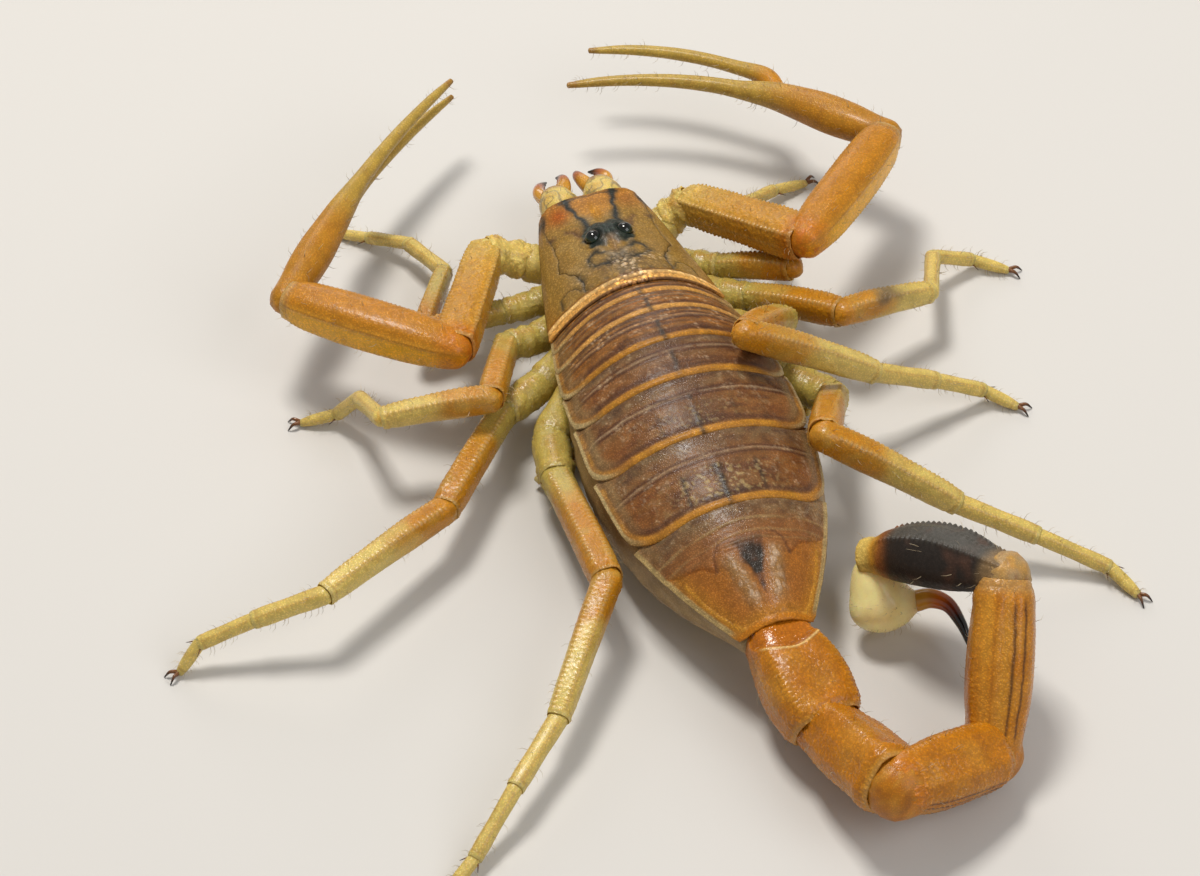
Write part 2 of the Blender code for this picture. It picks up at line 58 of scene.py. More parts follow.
tints = {                     # linear colours
    "tan": (0.285, 0.160, 0.031), "orange": (0.48, 0.165, 0.010), "rust": (0.36, 0.085, 0.012),
    "ink": (0.022, 0.024, 0.020), "slate": (0.115, 0.090, 0.058), "silver": (0.46, 0.36, 0.24),
    "mauve": (0.215, 0.094, 0.032), "plum": (0.095, 0.040, 0.022), "taupe": (0.245, 0.152, 0.066),
    "band": (0.43, 0.185, 0.024), "cream": (0.42, 0.30, 0.125), "russet": (0.245, 0.082, 0.018),
    "amber": (0.45, 0.158, 0.005), "honey": (0.56, 0.27, 0.030), "deep": (0.24, 0.070, 0.008),
    "charcoal": (0.020, 0.015, 0.012), "ash": (0.066, 0.060, 0.050), "butter": (1.0, 0.84, 0.38),
    "straw": (0.66, 0.49, 0.125), "moss": (0.50, 0.375, 0.085), "olive": (0.44, 0.275, 0.045),
    "apricot": (0.50, 0.205, 0.008), "flame": (0.50, 0.145, 0.004), "black": (0.010, 0.008, 0.007),
    "blood": (0.17, 0.024, 0.005), "skin": (0.36, 0.235, 0.098), "belly": (0.58, 0.43, 0.17),
}
tints = {name: np.array(colour) for name, colour in tints.items()}


def unit(v):                  # a vector over its own length
    return v / np.linalg.norm(v, axis=-1, keepdims=True)


def rise(x, a, b):            # smooth step from 0 at a to 1 at b: three s squared less two s cubed
    s = np.clip((x - a) / (b - a), 0, 1)
    return s * s * (3 - 2 * s)


def bell(x, centre, width):   # 1 at the centre, falling off on both sides: e to the minus distance squared
    return np.exp(-((x - centre) / width) ** 2)


def mix(a, b, amount):        # colour a turning into colour b, in equal shares at an amount of a half
    amount = np.clip(amount, 0, 1)[..., None]
    return a * (1 - amount) + b * amount


def layered(base, like, *layers):
    # a ground colour with further colours laid over it one after the other, each by its own mask
    tint = np.broadcast_to(tints[base] if isinstance(base, str) else base, like.shape)
    for colour, amount in layers:
        tint = mix(tint, tints[colour] if isinstance(colour, str) else colour, amount)
    return tint


def through(x, knots):        # cubic curve through rows of (position, values), with the rows' mean slopes
    knots = np.asarray(knots, float)
    at, values = knots[:, 0], knots[:, 1:]
    slopes = np.gradient(values, at, axis=0)
    x = np.clip(x, at[0], at[-1])
    i = np.clip(np.searchsorted(at, x) - 1, 0, len(at) - 2)
    gap = at[i + 1] - at[i]
    s = ((x - at[i]) / gap)[..., None]
    gap = gap[..., None]
    return ((1 + 2 * s) * (1 - s) ** 2 * values[i] + s * (1 - s) ** 2 * gap * slopes[i]
            + s * s * (3 - 2 * s) * values[i + 1] + s * s * (s - 1) * gap * slopes[i + 1])


def lattice(cell, seed):
    # a repeatable random number from 0 to 1 for each cell: its place times large primes, with the bits mixed
    n = cell[..., 0] * 73856093 ^ cell[..., 1] * 19349663 ^ cell[..., 2] * 83492791 ^ (seed + 1) * 49979687
    n = (n ^ (n >> 13)) * 1274126177
    n = (n ^ (n >> 16)) & 0xffffff
    return n / 0xffffff


def clouds(points, size, seed=0):
    # soft noise from -1 to 1 with features of that size: the random numbers of a cell's eight corners,
    # weighted by smooth steps between them
    q = points / size
    cell = np.floor(q).astype(np.int64)
    f = q - cell
    f = f * f * (3 - 2 * f)
    total = 0
    for corner in np.ndindex(2, 2, 2):
        weight = np.prod(np.where(corner, f, 1 - f), axis=-1)
        total = total + weight * lattice(cell + corner, seed)
    return total * 2 - 1


def blotch(points, size, seed, low, high):       # patches of that noise: 0 where it is under low, 1 over high
    return rise(clouds(points, size, seed), low, high)


def grains(points, size, seed=0, width=0.5):
    # little domes scattered one to a cell: 1 less the squared distance to the nearest one's middle
    q = points / size
    cell = np.floor(q).astype(np.int64)
    nearest = np.full(points.shape[:-1], 9.0)
    for corner in np.ndindex(3, 3, 3):
        home = cell + corner - 1
        spot = home + np.stack([lattice(home, seed + k) for k in (1, 2, 3)], axis=-1)
        nearest = np.minimum(nearest, np.linalg.norm(spot - q, axis=-1))
    return np.clip(1 - (nearest / width) ** 2, 0, 1)


def strokes(x, y, points, width):
    # a soft line through the points: the bell of the distance to the nearest stretch between two of them
    points = np.asarray(points, float)
    nearest = np.full(x.shape, 99.0)
    for a, b in zip(points, points[1:]):
        run = b - a
        s = np.clip(((x - a[0]) * run[0] + (y - a[1]) * run[1]) / (run @ run), 0, 1)
        nearest = np.minimum(nearest, np.hypot(x - a[0] - s * run[0], y - a[1] - s * run[1]))
    return np.exp(-(nearest / width) ** 2)


def ball(rows, columns, cap):
    # directions all over a ball, (sin u cos v, sin u sin v, cos u), leaving a small cap at each pole; and u
    u, v = np.meshgrid(np.linspace(cap, pi - cap, rows), np.arange(columns) * 2 * pi / columns, indexing="ij")
    return np.stack([np.sin(u) * np.cos(v), np.sin(u) * np.sin(v), np.cos(u)], -1), u


# grids into meshes

def cornerUvs(*pairs):        # the UVs of a face's corners, from their pairs of coordinates
    return np.stack([np.stack(np.broadcast_arrays(*pair), -1) for pair in pairs], -2)


def patch(grid, tint, gloss=0.4, wrap=True):
    # a grid of points as vertices, faces and per-corner UVs: point (i, j) is number i x columns + j;
    # a wrapped grid is closed with a fan to the mean point of each end
    rows, columns = grid.shape[:2]
    tint = np.broadcast_to(tint, grid.shape)
    gloss = np.broadcast_to(gloss, grid.shape[:2])
    i, j = np.meshgrid(np.arange(rows - 1), np.arange(columns if wrap else columns - 1), indexing="ij")
    k = (j + 1) % columns
    quads = np.stack([i * columns + j, i * columns + k, (i + 1) * columns + k, (i + 1) * columns + j], -1)
    u, w = i / (rows - 1), 1 / (rows - 1)
    v, d = j / columns, 1 / columns
    out = {
        "points": grid.reshape(-1, 3), "tint": tint.reshape(-1, 3), "gloss": gloss.reshape(-1),
        "quads": quads.reshape(-1, 4), "tris": np.zeros((0, 3), int), "triUv": np.zeros((0, 3, 2)),
        "quadUv": cornerUvs((u, v), (u, v + d), (u + w, v + d), (u + w, v)).reshape(-1, 4, 2),
    }
    if wrap:
        count = rows * columns
        lastRow = (rows - 1) * columns
        out["points"] = np.vstack([out["points"], grid[0].mean(0), grid[-1].mean(0)])
        out["tint"] = np.vstack([out["tint"], tint[0].mean(0), tint[-1].mean(0)])
        out["gloss"] = np.r_[out["gloss"], gloss[0].mean(), gloss[-1].mean()]
        ring = np.arange(columns)
        ahead = (ring + 1) % columns
        first = np.stack([np.full(columns, count), ahead, ring], -1)
        last = np.stack([np.full(columns, count + 1), ring + lastRow, ahead + lastRow], -1)
        out["tris"] = np.vstack([first, last])
        v = ring / columns
        out["triUv"] = np.vstack([cornerUvs((0, v), (0, v + d), (0, v)),
                                  cornerUvs((1, v), (1, v), (1, v + d))])
    return out


def outward(piece):
    # a closed patch with its faces pointing out: all are turned if their normals, summed, point to the middle
    p = piece["points"]
    q = piece["quads"]
    tri = np.vstack([q[:, [0, 1, 2]], q[:, [0, 2, 3]], piece["tris"]])
    a, b, c = p[tri[:, 0]], p[tri[:, 1]], p[tri[:, 2]]
    if np.sum(np.cross(b - a, c - a) * (a - p.mean(0))) < 0:
        for key in ("quads", "tris", "quadUv", "triUv"):
            piece[key] = piece[key][:, ::-1]
    return piece


def build(name, patches, material, uvName="surface"):
    # one smooth mesh from patches, their point numbers shifted by the number of points before them; a place
    # in the world is the place in the body's frame plus the body's origin
    starts = np.cumsum([0] + [len(one["points"]) for one in patches])
    quads = np.vstack([one["quads"] + start for one, start in zip(patches, starts)])
    tris = np.vstack([one["tris"] + start for one, start in zip(patches, starts)])
    joined = {key: np.concatenate([one[key] for one in patches])
              for key in ("points", "tint", "gloss", "quadUv", "triUv")}
    mesh = bpy.data.meshes.new(name)
    mesh.vertices.add(starts[-1])
    world = (joined["points"] + bodyOrigin) * mm
    mesh.vertices.foreach_set("co", world.astype(np.float32).ravel())
    mesh.loops.add(quads.size + tris.size)
    mesh.loops.foreach_set("vertex_index", np.r_[quads.ravel(), tris.ravel()].astype(np.int32))
    mesh.polygons.add(len(quads) + len(tris))
    firstCorners = np.r_[np.arange(len(quads)) * 4, quads.size + np.arange(len(tris)) * 3]
    mesh.polygons.foreach_set("loop_start", firstCorners.astype(np.int32))
    mesh.update(calc_edges=True)
    uvs = np.r_[joined["quadUv"].ravel(), joined["triUv"].ravel()]
    mesh.uv_layers.new(name=uvName).data.foreach_set("uv", uvs.astype(np.float32))
    colours = np.hstack([joined["tint"], np.ones((starts[-1], 1))])
    tint = mesh.attributes.new("tint", "FLOAT_COLOR", "POINT")
    tint.data.foreach_set("color", colours.astype(np.float32).ravel())
    gloss = mesh.attributes.new("gloss", "FLOAT", "POINT")
    gloss.data.foreach_set("value", joined["gloss"].astype(np.float32))
    mesh.validate()
    mesh.shade_smooth()
    mesh.materials.append(material)
    piece = bpy.data.objects.new(name, mesh)
    bpy.context.scene.collection.objects.link(piece)
    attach(piece, "root")
    return piece


def shell(piece, thickness):  # an open sheet given its thickness, inwards
    solid = piece.modifiers.new("thickness", "SOLIDIFY")
    solid.thickness = thickness * mm
    solid.offset = -1


# round profiles carried along a path

ends = {
    "rings": 8,               # of a round end
    "lipFar": (0.04, 0.06, 0.05, 0.01),          # a hollow end: over a rounded lip, then back inside
    "lipSize": (0.99, 0.97, 0.945, 0.925, 0.90, 0.75, 0.3),
}


def stations(length, step, before, after):
    # places along a link and the share of its radius there: a round end follows a sine against a cosine
    turn = np.linspace(0.12, pi / 2, ends["rings"])
    if after > 0:
        endFar, endSqueeze = after * np.cos(turn[-2::-1]), np.sin(turn[-2::-1])
    else:
        endFar = np.array((*ends["lipFar"], 0.3 * after, 0.6 * after, after))
        endSqueeze = np.array(ends["lipSize"])
    rows = max(int(length / step), 4)
    far = np.r_[-before * np.cos(turn[:-1]), np.linspace(0, length, rows), length + endFar]
    return far, np.r_[np.sin(turn[:-1]), np.ones(rows), endSqueeze]


def mirrored(*rows):          # each keel and its twin on the other side, at 180 degrees less its own angle
    return [twin for row in rows for twin in (row, (180 - row[0], *row[1:]))]


def sweep(shape):
    # a squared ellipse carried along a smooth curve: its radius at an angle is the sum of cosine over width
    # and sine over height, each to a power, to the power of minus one over that power; plus keels, which are
    # bells about fixed angles, beaded by a sine where they have a spacing, plus rims, wrinkles and grains
    path = np.asarray(shape["path"], float)
    chord = np.r_[0, np.cumsum(np.linalg.norm(np.diff(path, axis=0), axis=1))]
    length = chord[-1]
    step = shape.get("step", 0.09)
    seed = shape.get("seed", 0)
    far, squeeze = stations(length, step, *shape.get("ends", (0.4, 0.4)))
    inside = np.clip(far, 0, length)
    if len(path) > 2:
        centre = through(inside, np.column_stack([chord, path]))
    else:
        centre = path[0] + (path[1] - path[0]) * (inside / length)[:, None]
    bow = np.asarray(shape.get("bow", (0, 0, 0)), float)
    centre = centre + bow * np.sin(pi * inside / length)[:, None]
    endRings = ends["rings"] - 1
    body = np.gradient(centre[endRings:-endRings], axis=0)
    tangent = unit(np.vstack([body[:1].repeat(endRings, 0), body, body[-1:].repeat(endRings, 0)]))
    centre = centre + tangent * (far - inside)[:, None]
    up = np.atleast_2d(np.asarray(shape.get("up", (0, 0, 1)), float))
    up = up[0] + (up[-1] - up[0]) * (inside / length)[:, None]
    side = unit(np.cross(tangent, up))
    top = np.cross(side, tangent)
    t = np.clip(far / length, 0, 1)
    sizes = through(t, shape["profile"])
    widest = sizes.max()
    columns = max(int(2 * pi * widest / step / 4) * 4, 8)
    angle = np.arange(columns) * 2 * pi / columns
    power = shape.get("power", 2.2)
    radius = ((np.abs(np.cos(angle)) / sizes[:, :1]) ** power
              + (np.abs(np.sin(angle)) / sizes[:, 1:2]) ** power) ** (-1 / power)
    keel = np.zeros_like(radius)
    tooth = np.zeros_like(radius)
    reach = far[:, None]
    for where, tall, wide, spacing, first, last in shape.get("keels", ()):
        off = (angle - radians(where) + pi) % (2 * pi) - pi
        shown = rise(t, first - 0.04, first + 0.06) * rise(-t, -last - 0.04, -last + 0.06)
        ridge = bell(off, 0, radians(wide))[None] * shown[:, None]
        beads = 1.0
        if spacing:
            beads = 0.1 + 0.9 * (0.5 + 0.5 * np.sin(2 * pi * reach / spacing)) ** 0.8
            tooth = np.maximum(tooth, ridge * beads)
        radius = radius + tall * ridge * beads
        keel = np.maximum(keel, ridge)
    rolled = bell(reach, length - 0.14, 0.13) - 0.7 * bell(reach, length - 0.42, 0.13)
    radius = radius + shape.get("rim", 0.0) * (rolled + 0.6 * bell(reach, 0.1, 0.15))
    wrinkle, wrinkleSize = shape.get("wrinkles", (0, 0.3))
    if wrinkle:
        core = widest * 0.4
        around = np.stack(np.broadcast_arrays(reach, np.cos(angle) * core, np.sin(angle) * core), -1)
        radius = radius + wrinkle * (np.abs(clouds(around, wrinkleSize, seed + 5)) * 2 - 0.8)
    radius = radius * squeeze[:, None]
    sideways = np.cos(angle) * (1 + shape.get("lean", 0) * np.sin(angle))
    spoke = side[:, None] * sideways[None, :, None] + top[:, None] * np.sin(angle)[None, :, None]
    grid = centre[:, None] + spoke * radius[..., None]
    rough, grainSize = shape.get("grain", (0, 0.2))
    grainy = np.zeros_like(radius)
    if rough:
        grainy = grains(grid, grainSize, seed)
        first, last = shape.get("roughEnds", (1.6, 1.2))
        coarse = 1 + first * bell(reach, 0.1, 0.5) + last * bell(reach, length - 0.15, 0.4)
        grid = grid + spoke * (rough * grainy * coarse * np.minimum(squeeze, 1)[:, None])[..., None]
    made = {"grid": grid, "spoke": spoke, "length": length, "keel": keel, "tooth": tooth, "grain": grainy}
    made.update(t=np.broadcast_to(t[:, None], radius.shape), angle=np.broadcast_to(angle, radius.shape),
                far=np.broadcast_to(reach, radius.shape))
    return made


# finishes

def finish(name, look):
    # colour is the tint attribute times clouds of noise times a grain of small domes; the bump adds the domes
    # and the pores; roughness is the gloss attribute, less the domes' polish, plus a little of the pores
    material = bpy.data.materials.new(name)
    material.use_nodes = True
    tree = material.node_tree
    shader = tree.nodes["Principled BSDF"]

    def add(kind, inputs, wires, **settings):                # a node, its inputs' values and what feeds them
        new = tree.nodes.new("ShaderNode" + kind)
        for key, value in settings.items():
            setattr(new, key, value)
        for key, value in inputs.items():
            new.inputs[key].default_value = value
        for key, output in wires.items():
            tree.links.new(output, new.inputs[key])
        return new.outputs

    def noise(size, **more):
        return add("TexNoise", dict(Scale=1 / (size * mm), **more), {"Vector": place})["Fac"]

    def stretched(value, low, high, least, most):            # low to high of a value, made least to most
        ranges = {"From Min": low, "From Max": high, "To Min": least, "To Max": most}
        return add("MapRange", ranges, {"Value": value})["Result"]

    def times(colour, factor):
        return add("Mix", {"Factor": 1}, {6: colour, 7: factor}, data_type="RGBA", blend_type="MULTIPLY")[2]

    def bump(distance, **wires):
        return add("Bump", {"Strength": 1, "Distance": distance * mm}, wires)["Normal"]

    place = add("TexCoord", {}, {})["Object"]
    tint = add("Attribute", {}, {}, attribute_name="tint")["Color"]
    gloss = add("Attribute", {}, {}, attribute_name="gloss")["Fac"]
    mottle = noise(look["mottleSize"], Detail=5, Roughness=0.62)
    dots = add("TexVoronoi", {"Scale": 1 / (look["grainSize"] * mm)}, {"Vector": place})["Distance"]
    dome = stretched(dots, 0, 0.55, 1, 0)
    pores = noise(look["poreSize"], Detail=3)

    shade = times(tint, stretched(mottle, 0.25, 0.75, 1 - look["mottle"], 1 + look["mottle"]))
    shade = times(shade, stretched(dome, 0, 1, 1 - look["grainShade"] * 0.5, 1 + look["grainShade"]))
    normal = bump(look["poreHeight"], Height=pores, Normal=bump(look["grainHeight"], Height=dome))
    uneven = stretched(pores, 0.3, 0.7, -0.08, 0.08)
    polish = add("Math", {1: -look["grainPolish"]}, {0: dome, 2: uneven}, operation="MULTIPLY_ADD")["Value"]
    rough = add("Math", {}, {0: gloss, 1: polish}, operation="ADD", use_clamp=True)["Value"]
    for key, output in {"Base Color": shade, "Normal": normal, "Roughness": rough}.items():
        tree.links.new(output, shader.inputs[key])
    values = {
        "IOR": 1.5, "Specular IOR Level": look["shine"],
        "Coat Weight": look["coat"], "Coat Roughness": look["coatRoughness"],
        "Subsurface Weight": look["glow"], "Subsurface Scale": look["glowDepth"] * mm,
        "Subsurface Radius": (1.0, 0.55, 0.25),
    }
    for key, value in values.items():
        shader.inputs[key].default_value = value
    return material


plain = dict(mottle=0.16, mottleSize=0.9, grainSize=0.15, grainShade=0.25, grainHeight=0.014,
             grainPolish=0.14, poreSize=0.07, poreHeight=0.008, shine=0.32, coat=0.12, coatRoughness=0.16,
             glow=0.12, glowDepth=0.5)       # sizes, heights and depths in millimetres
finishes = {                  # what each finish has of its own
    "carapace": ("granularShell", dict(grainHeight=0.013, grainShade=0.42, glow=0.1, shine=0.19, coat=0.05)),
    "tergites": ("backPlate", dict(grainSize=0.12, grainShade=0.4, grainPolish=0.22, mottle=0.26,
                                   mottleSize=0.7, shine=0.16, coat=0.04, glow=0.08)),
    "tail": ("tailShell", dict(grainSize=0.13, grainShade=0.3, coat=0.16, glow=0.16, shine=0.26)),
    "arms": ("armShell", dict(glow=0.2, grainSize=0.13, grainShade=0.3, shine=0.24)),
    "legs": ("legShell", dict(coat=0.14, glow=0.26, glowDepth=0.6, grainSize=0.12, grainShade=0.3,
                              mottle=0.14)),
    "skin": ("jointSkin", dict(grainHeight=0.010, grainSize=0.11, glow=0.2, coat=0.05, poreHeight=0.014,
                               mottle=0.22)),
    "dark": ("darkSegment", dict(grainSize=0.1, grainHeight=0.012, shine=0.22, coat=0.04, glow=0.0,
                                 mottle=0.25)),
    "bulb": ("smoothBulb", dict(grainHeight=0.002, grainShade=0.05, coat=0.3, coatRoughness=0.12, glow=0.5,
                                glowDepth=0.9, mottle=0.08)),
    "horn": ("hornTip", dict(grainHeight=0.0, grainShade=0.0, poreHeight=0.003, coat=0.8, coatRoughness=0.06,
                             glow=0.04, mottle=0.1)),
    "eye": ("eyeGlass", dict(grainHeight=0.0, grainShade=0.0, grainPolish=0.0, poreHeight=0.0, coat=0.6,
                             coatRoughness=0.03, glow=0.0, mottle=0.05)),
    "hair": ("bristle", dict(grainHeight=0.0, poreHeight=0.0, coat=0.2, glow=0.0, mottle=0.1)),
}
finishes = {kind: finish(name, dict(plain, **own)) for kind, (name, own) in finishes.items()}


def put(name, patches, look, nodes):      # a finished piece that stands for CAD nodes
    piece = build(name, patches, finishes[look])
    if nodes:
        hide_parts(*nodes)
    return piece


# trunk

trunk = {
    # y, half width, height of the crown, height of the side edge
    "back": [
        (-25.8, 2.15, 6.2, 5.1), (-22.0, 4.1, 7.2, 5.1), (-18.1, 5.6, 8.0, 5.15), (-13.0, 6.5, 8.6, 5.85),
        (-9.0, 6.5, 9.2, 6.2), (-5.9, 6.3, 9.3, 5.75), (-3.1, 5.95, 8.9, 5.3), (0.0, 5.35, 8.1, 4.8),
        (3.0, 4.75, 7.2, 4.8), (5.8, 4.15, 6.5, 4.85), (8.0, 3.65, 6.15, 4.95), (10.2, 3.0, 5.8, 5.05),
    ],
    "arch": 2.2,
    # y, height of the belly, half width
    "belly": [
        (-25.9, 3.3, 1.9), (-25.0, 3.0, 2.3), (-22.0, 2.4, 4.2), (-18.5, 1.7, 5.75), (-15.0, 1.4, 6.65),
        (-12.0, 1.4, 6.95), (-9.5, 1.8, 6.9), (-7.4, 3.0, 6.6), (-5.6, 3.3, 6.3), (-3.0, 3.2, 5.8),
        (0.6, 3.1, 4.9),
    ],
    "tubercle": {"y": 5.6, "height": 0.55, "halfWidth": 1.15, "halfLength": 1.2},
}


def backAt(y):                # half width, crown and side edge of the back at y, on curves through its rows
    return np.moveaxis(through(np.asarray(y, float), trunk["back"]), -1, 0)


def backHeight(x, y):
    # an arch from side to side, 1 less the share of the half width to a power, with the eye tubercle on top
    half, crown, edge = backAt(y)
    bump = trunk["tubercle"]
    away = (x / bump["halfWidth"]) ** 2 + ((y - bump["y"]) / bump["halfLength"]) ** 2
    arch = 1 - np.minimum(np.abs(x) / half, 1.0) ** trunk["arch"]
    return edge + (crown - edge) * arch + bump["height"] / (1 + away ** 2)


carapace = {
    "front": 10.2, "narrow": 0.12, "step": 0.072, "across": 10.7, "thickness": 0.2, "corner": 0.5,
    "notch": 0.12, "roll": 0.4, "rearBand": 0.78, "edgeRidge": 0.68,
    # marks, mirrored to the other side
    "bar": [(1.55, 10.4), (1.38, 9.3), (1.06, 8.0), (0.9, 7.05), (0.95, 6.2)],
    "wedge": [(2.15, 7.3), (1.75, 6.85), (1.45, 6.3)],
    "edgeLine": [(2.85, 9.8), (3.15, 8.6), (3.12, 7.3), (3.2, 6.4)],
    "fissure": [(3.2, 6.6), (3.32, 5.2), (3.45, 4.3), (3.05, 3.6), (2.75, 3.3), (2.63, 2.9), (2.63, 1.95),
                (2.7, 1.3)],
    "hook": [(4.15, 1.3), (4.0, 2.1), (3.5, 2.35), (3.15, 2.1), (2.95, 1.6)],
    "loop": [(0.8, 4.0), (1.25, 4.3), (1.62, 4.0), (1.8, 3.3), (1.5, 3.0), (0.8, 2.75)],
    "crest": [(0.15, 3.3), (0.7, 3.85), (1.1, 4.5)],
    "frontLine": [(-1.85, 10.0), (0, 9.95), (1.85, 10.0)],
    # colours of its own; the pale grain colour is in part a painted glint
    "frontPatch": (0.33, 0.075, 0.004), "browPatch": (0.37, 0.145, 0.008), "rearPale": (0.72, 0.37, 0.09),
    "ridgePale": (1.0, 0.66, 0.27), "greenBlack": (0.010, 0.018, 0.014), "stripBrown": (0.23, 0.125, 0.06),
    "paleGrainGlint": (0.78, 0.60, 0.42),
}


def makeCarapace():
    # grid of side fraction s by length t, from the notched front edge back: x is s times the half width at y,
    # and z is the arch of the back with the relief added
    columns = int(carapace["across"] / carapace["step"])
    rows = int(carapace["front"] / carapace["step"])
    s, t = np.meshgrid(np.linspace(-1, 1, columns), np.linspace(0, 1, rows))
    corner = np.clip((np.abs(s) - 0.8) / 0.2, 0, 1)
    frontEdge = (carapace["front"] - carapace["notch"] * bell(s, 0, 0.35)
                 - carapace["corner"] * (1 - np.sqrt(1 - corner ** 2 * 0.98)))
    y = frontEdge + (-0.16 + 0.2 * np.abs(s) ** 6 - frontEdge) * t
    x = s * (backAt(y)[0] - carapace["narrow"] * rise(y, 3.0, 10.0))
    z = backHeight(x, y)
    rolled = rise(np.abs(s), 0.92, 1.0)                      # the side edge turns down
    x = x + 0.12 * np.sign(s) * rolled
    z = z - carapace["roll"] * rolled ** 2 * (0.3 + 0.7 * rise(y, 0, 5))
    p = np.stack([x, y, z], -1)
    ax = np.abs(x)

    # masks of the marks, a little wavy
    wx, wy = ax + 0.12 * clouds(p, 0.55, 3), y + 0.12 * clouds(p, 0.5, 5)
    bar = strokes(wx, wy, carapace["bar"], 0.14 + 0.18 * rise(-y, -8.6, -7.0) + 0.2 * rise(y, 9.3, 10.0))
    wedge = strokes(wx, wy, carapace["wedge"], 0.16 + 0.3 * rise(-ax, -2.1, -1.4))
    edgeLine = strokes(wx, wy, carapace["edgeLine"], 0.08)
    fissure = strokes(wx, wy, carapace["fissure"], 0.1 + 0.08 * rise(-y, -4.2, -2.5))
    hook = strokes(wx, wy, carapace["hook"], 0.1)
    loop = strokes(wx, wy, carapace["loop"], 0.24) * blotch(p, 0.35, 41, -0.9, -0.2)
    crest = strokes(wx, wy, carapace["crest"], 0.16)
    frontLine = strokes(x, wy, carapace["frontLine"], 0.1)
    grain = grains(p, 0.25, 11) * (0.3 + 0.7 * blotch(p, 1.5, 8, -0.4, 0.5))
    rearArea = rise(-y, -4.4, -1.8) * rise(-ax, -3.6, -1.2)
    wavyY = y + 0.06 * clouds(p, 0.9, 9)
    rearBand = rise(-wavyY, -carapace["rearBand"] - 0.08, -carapace["rearBand"] + 0.08)
    edgeRidge = bell(wavyY, carapace["edgeRidge"], 0.13) * (0.55 + 0.45 * blotch(p, 0.25, 45, -0.3, 0.3))
    fromEye = np.hypot(ax - eyes["x"], y - eyes["y"] + eyes["back"])
    nearEye = rise(-fromEye, -0.66, -0.56)
    bare = 1 - nearEye
    aboutEyes = np.hypot(ax - 0.6, 0.8 * (y - 5.7))
    dark = rise(-aboutEyes - 0.15 * clouds(p, 0.4, 33), -1.02, -0.8)
    strip = bell(x + 0.12 * clouds(p, 0.5, 35), 0, 0.34) * rise(-y, -5.45, -4.95)      # behind the eyes
    centre = np.exp(-((x / 0.95) ** 2 + ((y - 2.9) / 0.95) ** 2) ** 2)
    brow = np.exp(-((x / 0.95) ** 2 + ((y - 8.7) / 1.1) ** 2) ** 2)
    glow = np.exp(-((x / 0.55) ** 2 + ((y - 8.5) / 0.6) ** 2))
    cheek = bell(ax, 2.15, 0.6) * bell(y, 9.0, 0.8) * blotch(p, 1.0, 23, -0.9, 0.1) * rise(-x, -1.4, 0.6)
    sheen = clouds(p, 0.5, 25)
    web = rise(-np.abs(clouds(p, 0.5, 31)), -0.2, -0.05)

    # relief: sockets and brows, furrow, sunk lines, two ridges along the rear edge, granules
    z = z - 0.16 * rise(-fromEye, -0.6, -0.45) + 0.07 * bell(fromEye, 0.66, 0.1)
    z = z + 0.07 * bell(x, 0, 0.3) * bell(y, 5.9, 0.9)
    z = z - 0.16 * bell(x, 0, 0.28) * rise(y, 3.0, 4.5) * rise(-y, -10.2, -7.3) * (1 - bell(y, 5.9, 0.8))
    z = z - 0.12 * (fissure + 0.5 * loop + 0.5 * hook + 0.4 * edgeLine) - 0.03 * wedge + 0.05 * crest
    z = z - 0.02 * bell(wavyY, 0.45, 0.1) - 0.04 * bell(wavyY, 1.0, 0.12) + 0.05 * rearBand + 0.05 * edgeRidge
    z = z + 0.06 * rise(y, 9.9, 10.15) + 0.12 * bell(x, 0, 1.7) * bell(y, 2.4, 1.3)
    z = z + grain * (0.012 + 0.06 * rearArea + 0.03 * rearBand + 0.04 * np.maximum(dark, centre) * bare)

    tint = layered(
        "tan", p,
        ("taupe", 0.2 * blotch(p, 1.3, 21, 0, 0.7)),
        ("cream", 0.2 * blotch(p, 0.9, 22, 0.1, 0.7)),
        ("orange", 0.5 * rise(y, 7.6, 9.6)),
        (carapace["frontPatch"], 0.95 * cheek),
        ("russet", 0.5 * bell(x, 2.1, 0.6) * bell(y, 9.0, 0.8)),
        (carapace["browPatch"], 0.9 * brow),
        ("honey", 0.45 * glow),
        ("taupe", 0.35 * rearArea * rise(sheen, -0.3, 0.5)),
        ("slate", 0.45 * rearArea * blotch(p, 0.45, 27, 0.1, 0.6)),
        ("orange", 0.3 * rise(ax, 4.1, 4.9) * rise(-y, -4, 0) + 0.35 * rise(-y, -1.3, -0.9)),
        (carapace["rearPale"], 0.88 * rearBand),
        ("band", 0.5 * rearBand * blotch(p, 0.3, 37, 0.1, 0.6)),
        (carapace["ridgePale"], 0.85 * edgeRidge),
        ("plum", 0.7 * wedge),
        ("plum", 0.7 * bell(np.hypot(wx - 3.05, wy - 7.4), 0, 0.26)),
        ("ink", 0.85 * bell(y, 9.2, 0.55) * rise(np.abs(s), 0.86, 0.94)),
        ("slate", 0.9 * dark),
        (carapace["greenBlack"], dark * (0.97 - 0.7 * strip)),
        ("slate", 0.8 * centre),
        ("ink", 0.9 * web * centre),
        ("plum", 0.55 * web * rearArea * bell(x, 0, 1.9)),
        (carapace["stripBrown"], 0.6 * strip * rise(y, 3.4, 4.2)),
        ("silver", 0.35 * crest),
        ("ink", 1.05 * bar), ("ink", 0.6 * edgeLine), ("ink", 0.95 * fissure), ("ink", 0.75 * hook),
        ("ink", 0.92 * loop), ("ink", 0.7 * frontLine), ("black", 0.97 * nearEye),
        ("plum", 0.3 * bell(wavyY, 0.45, 0.07) + 0.5 * bell(wavyY, 1.0, 0.08) + 0.8 * rise(-y, -0.02, 0.06)),
    )
    # grains in the rear area, the rear band and the middle are lightened and, below, given the pale grain
    # colour: partly pale granules, partly painted glints; the greenish lift of the grains in the dark ring
    # round the eyes is partly their own green speckle, partly painted glints
    paleGrainGlint = (rearArea + rearBand + centre) * bare
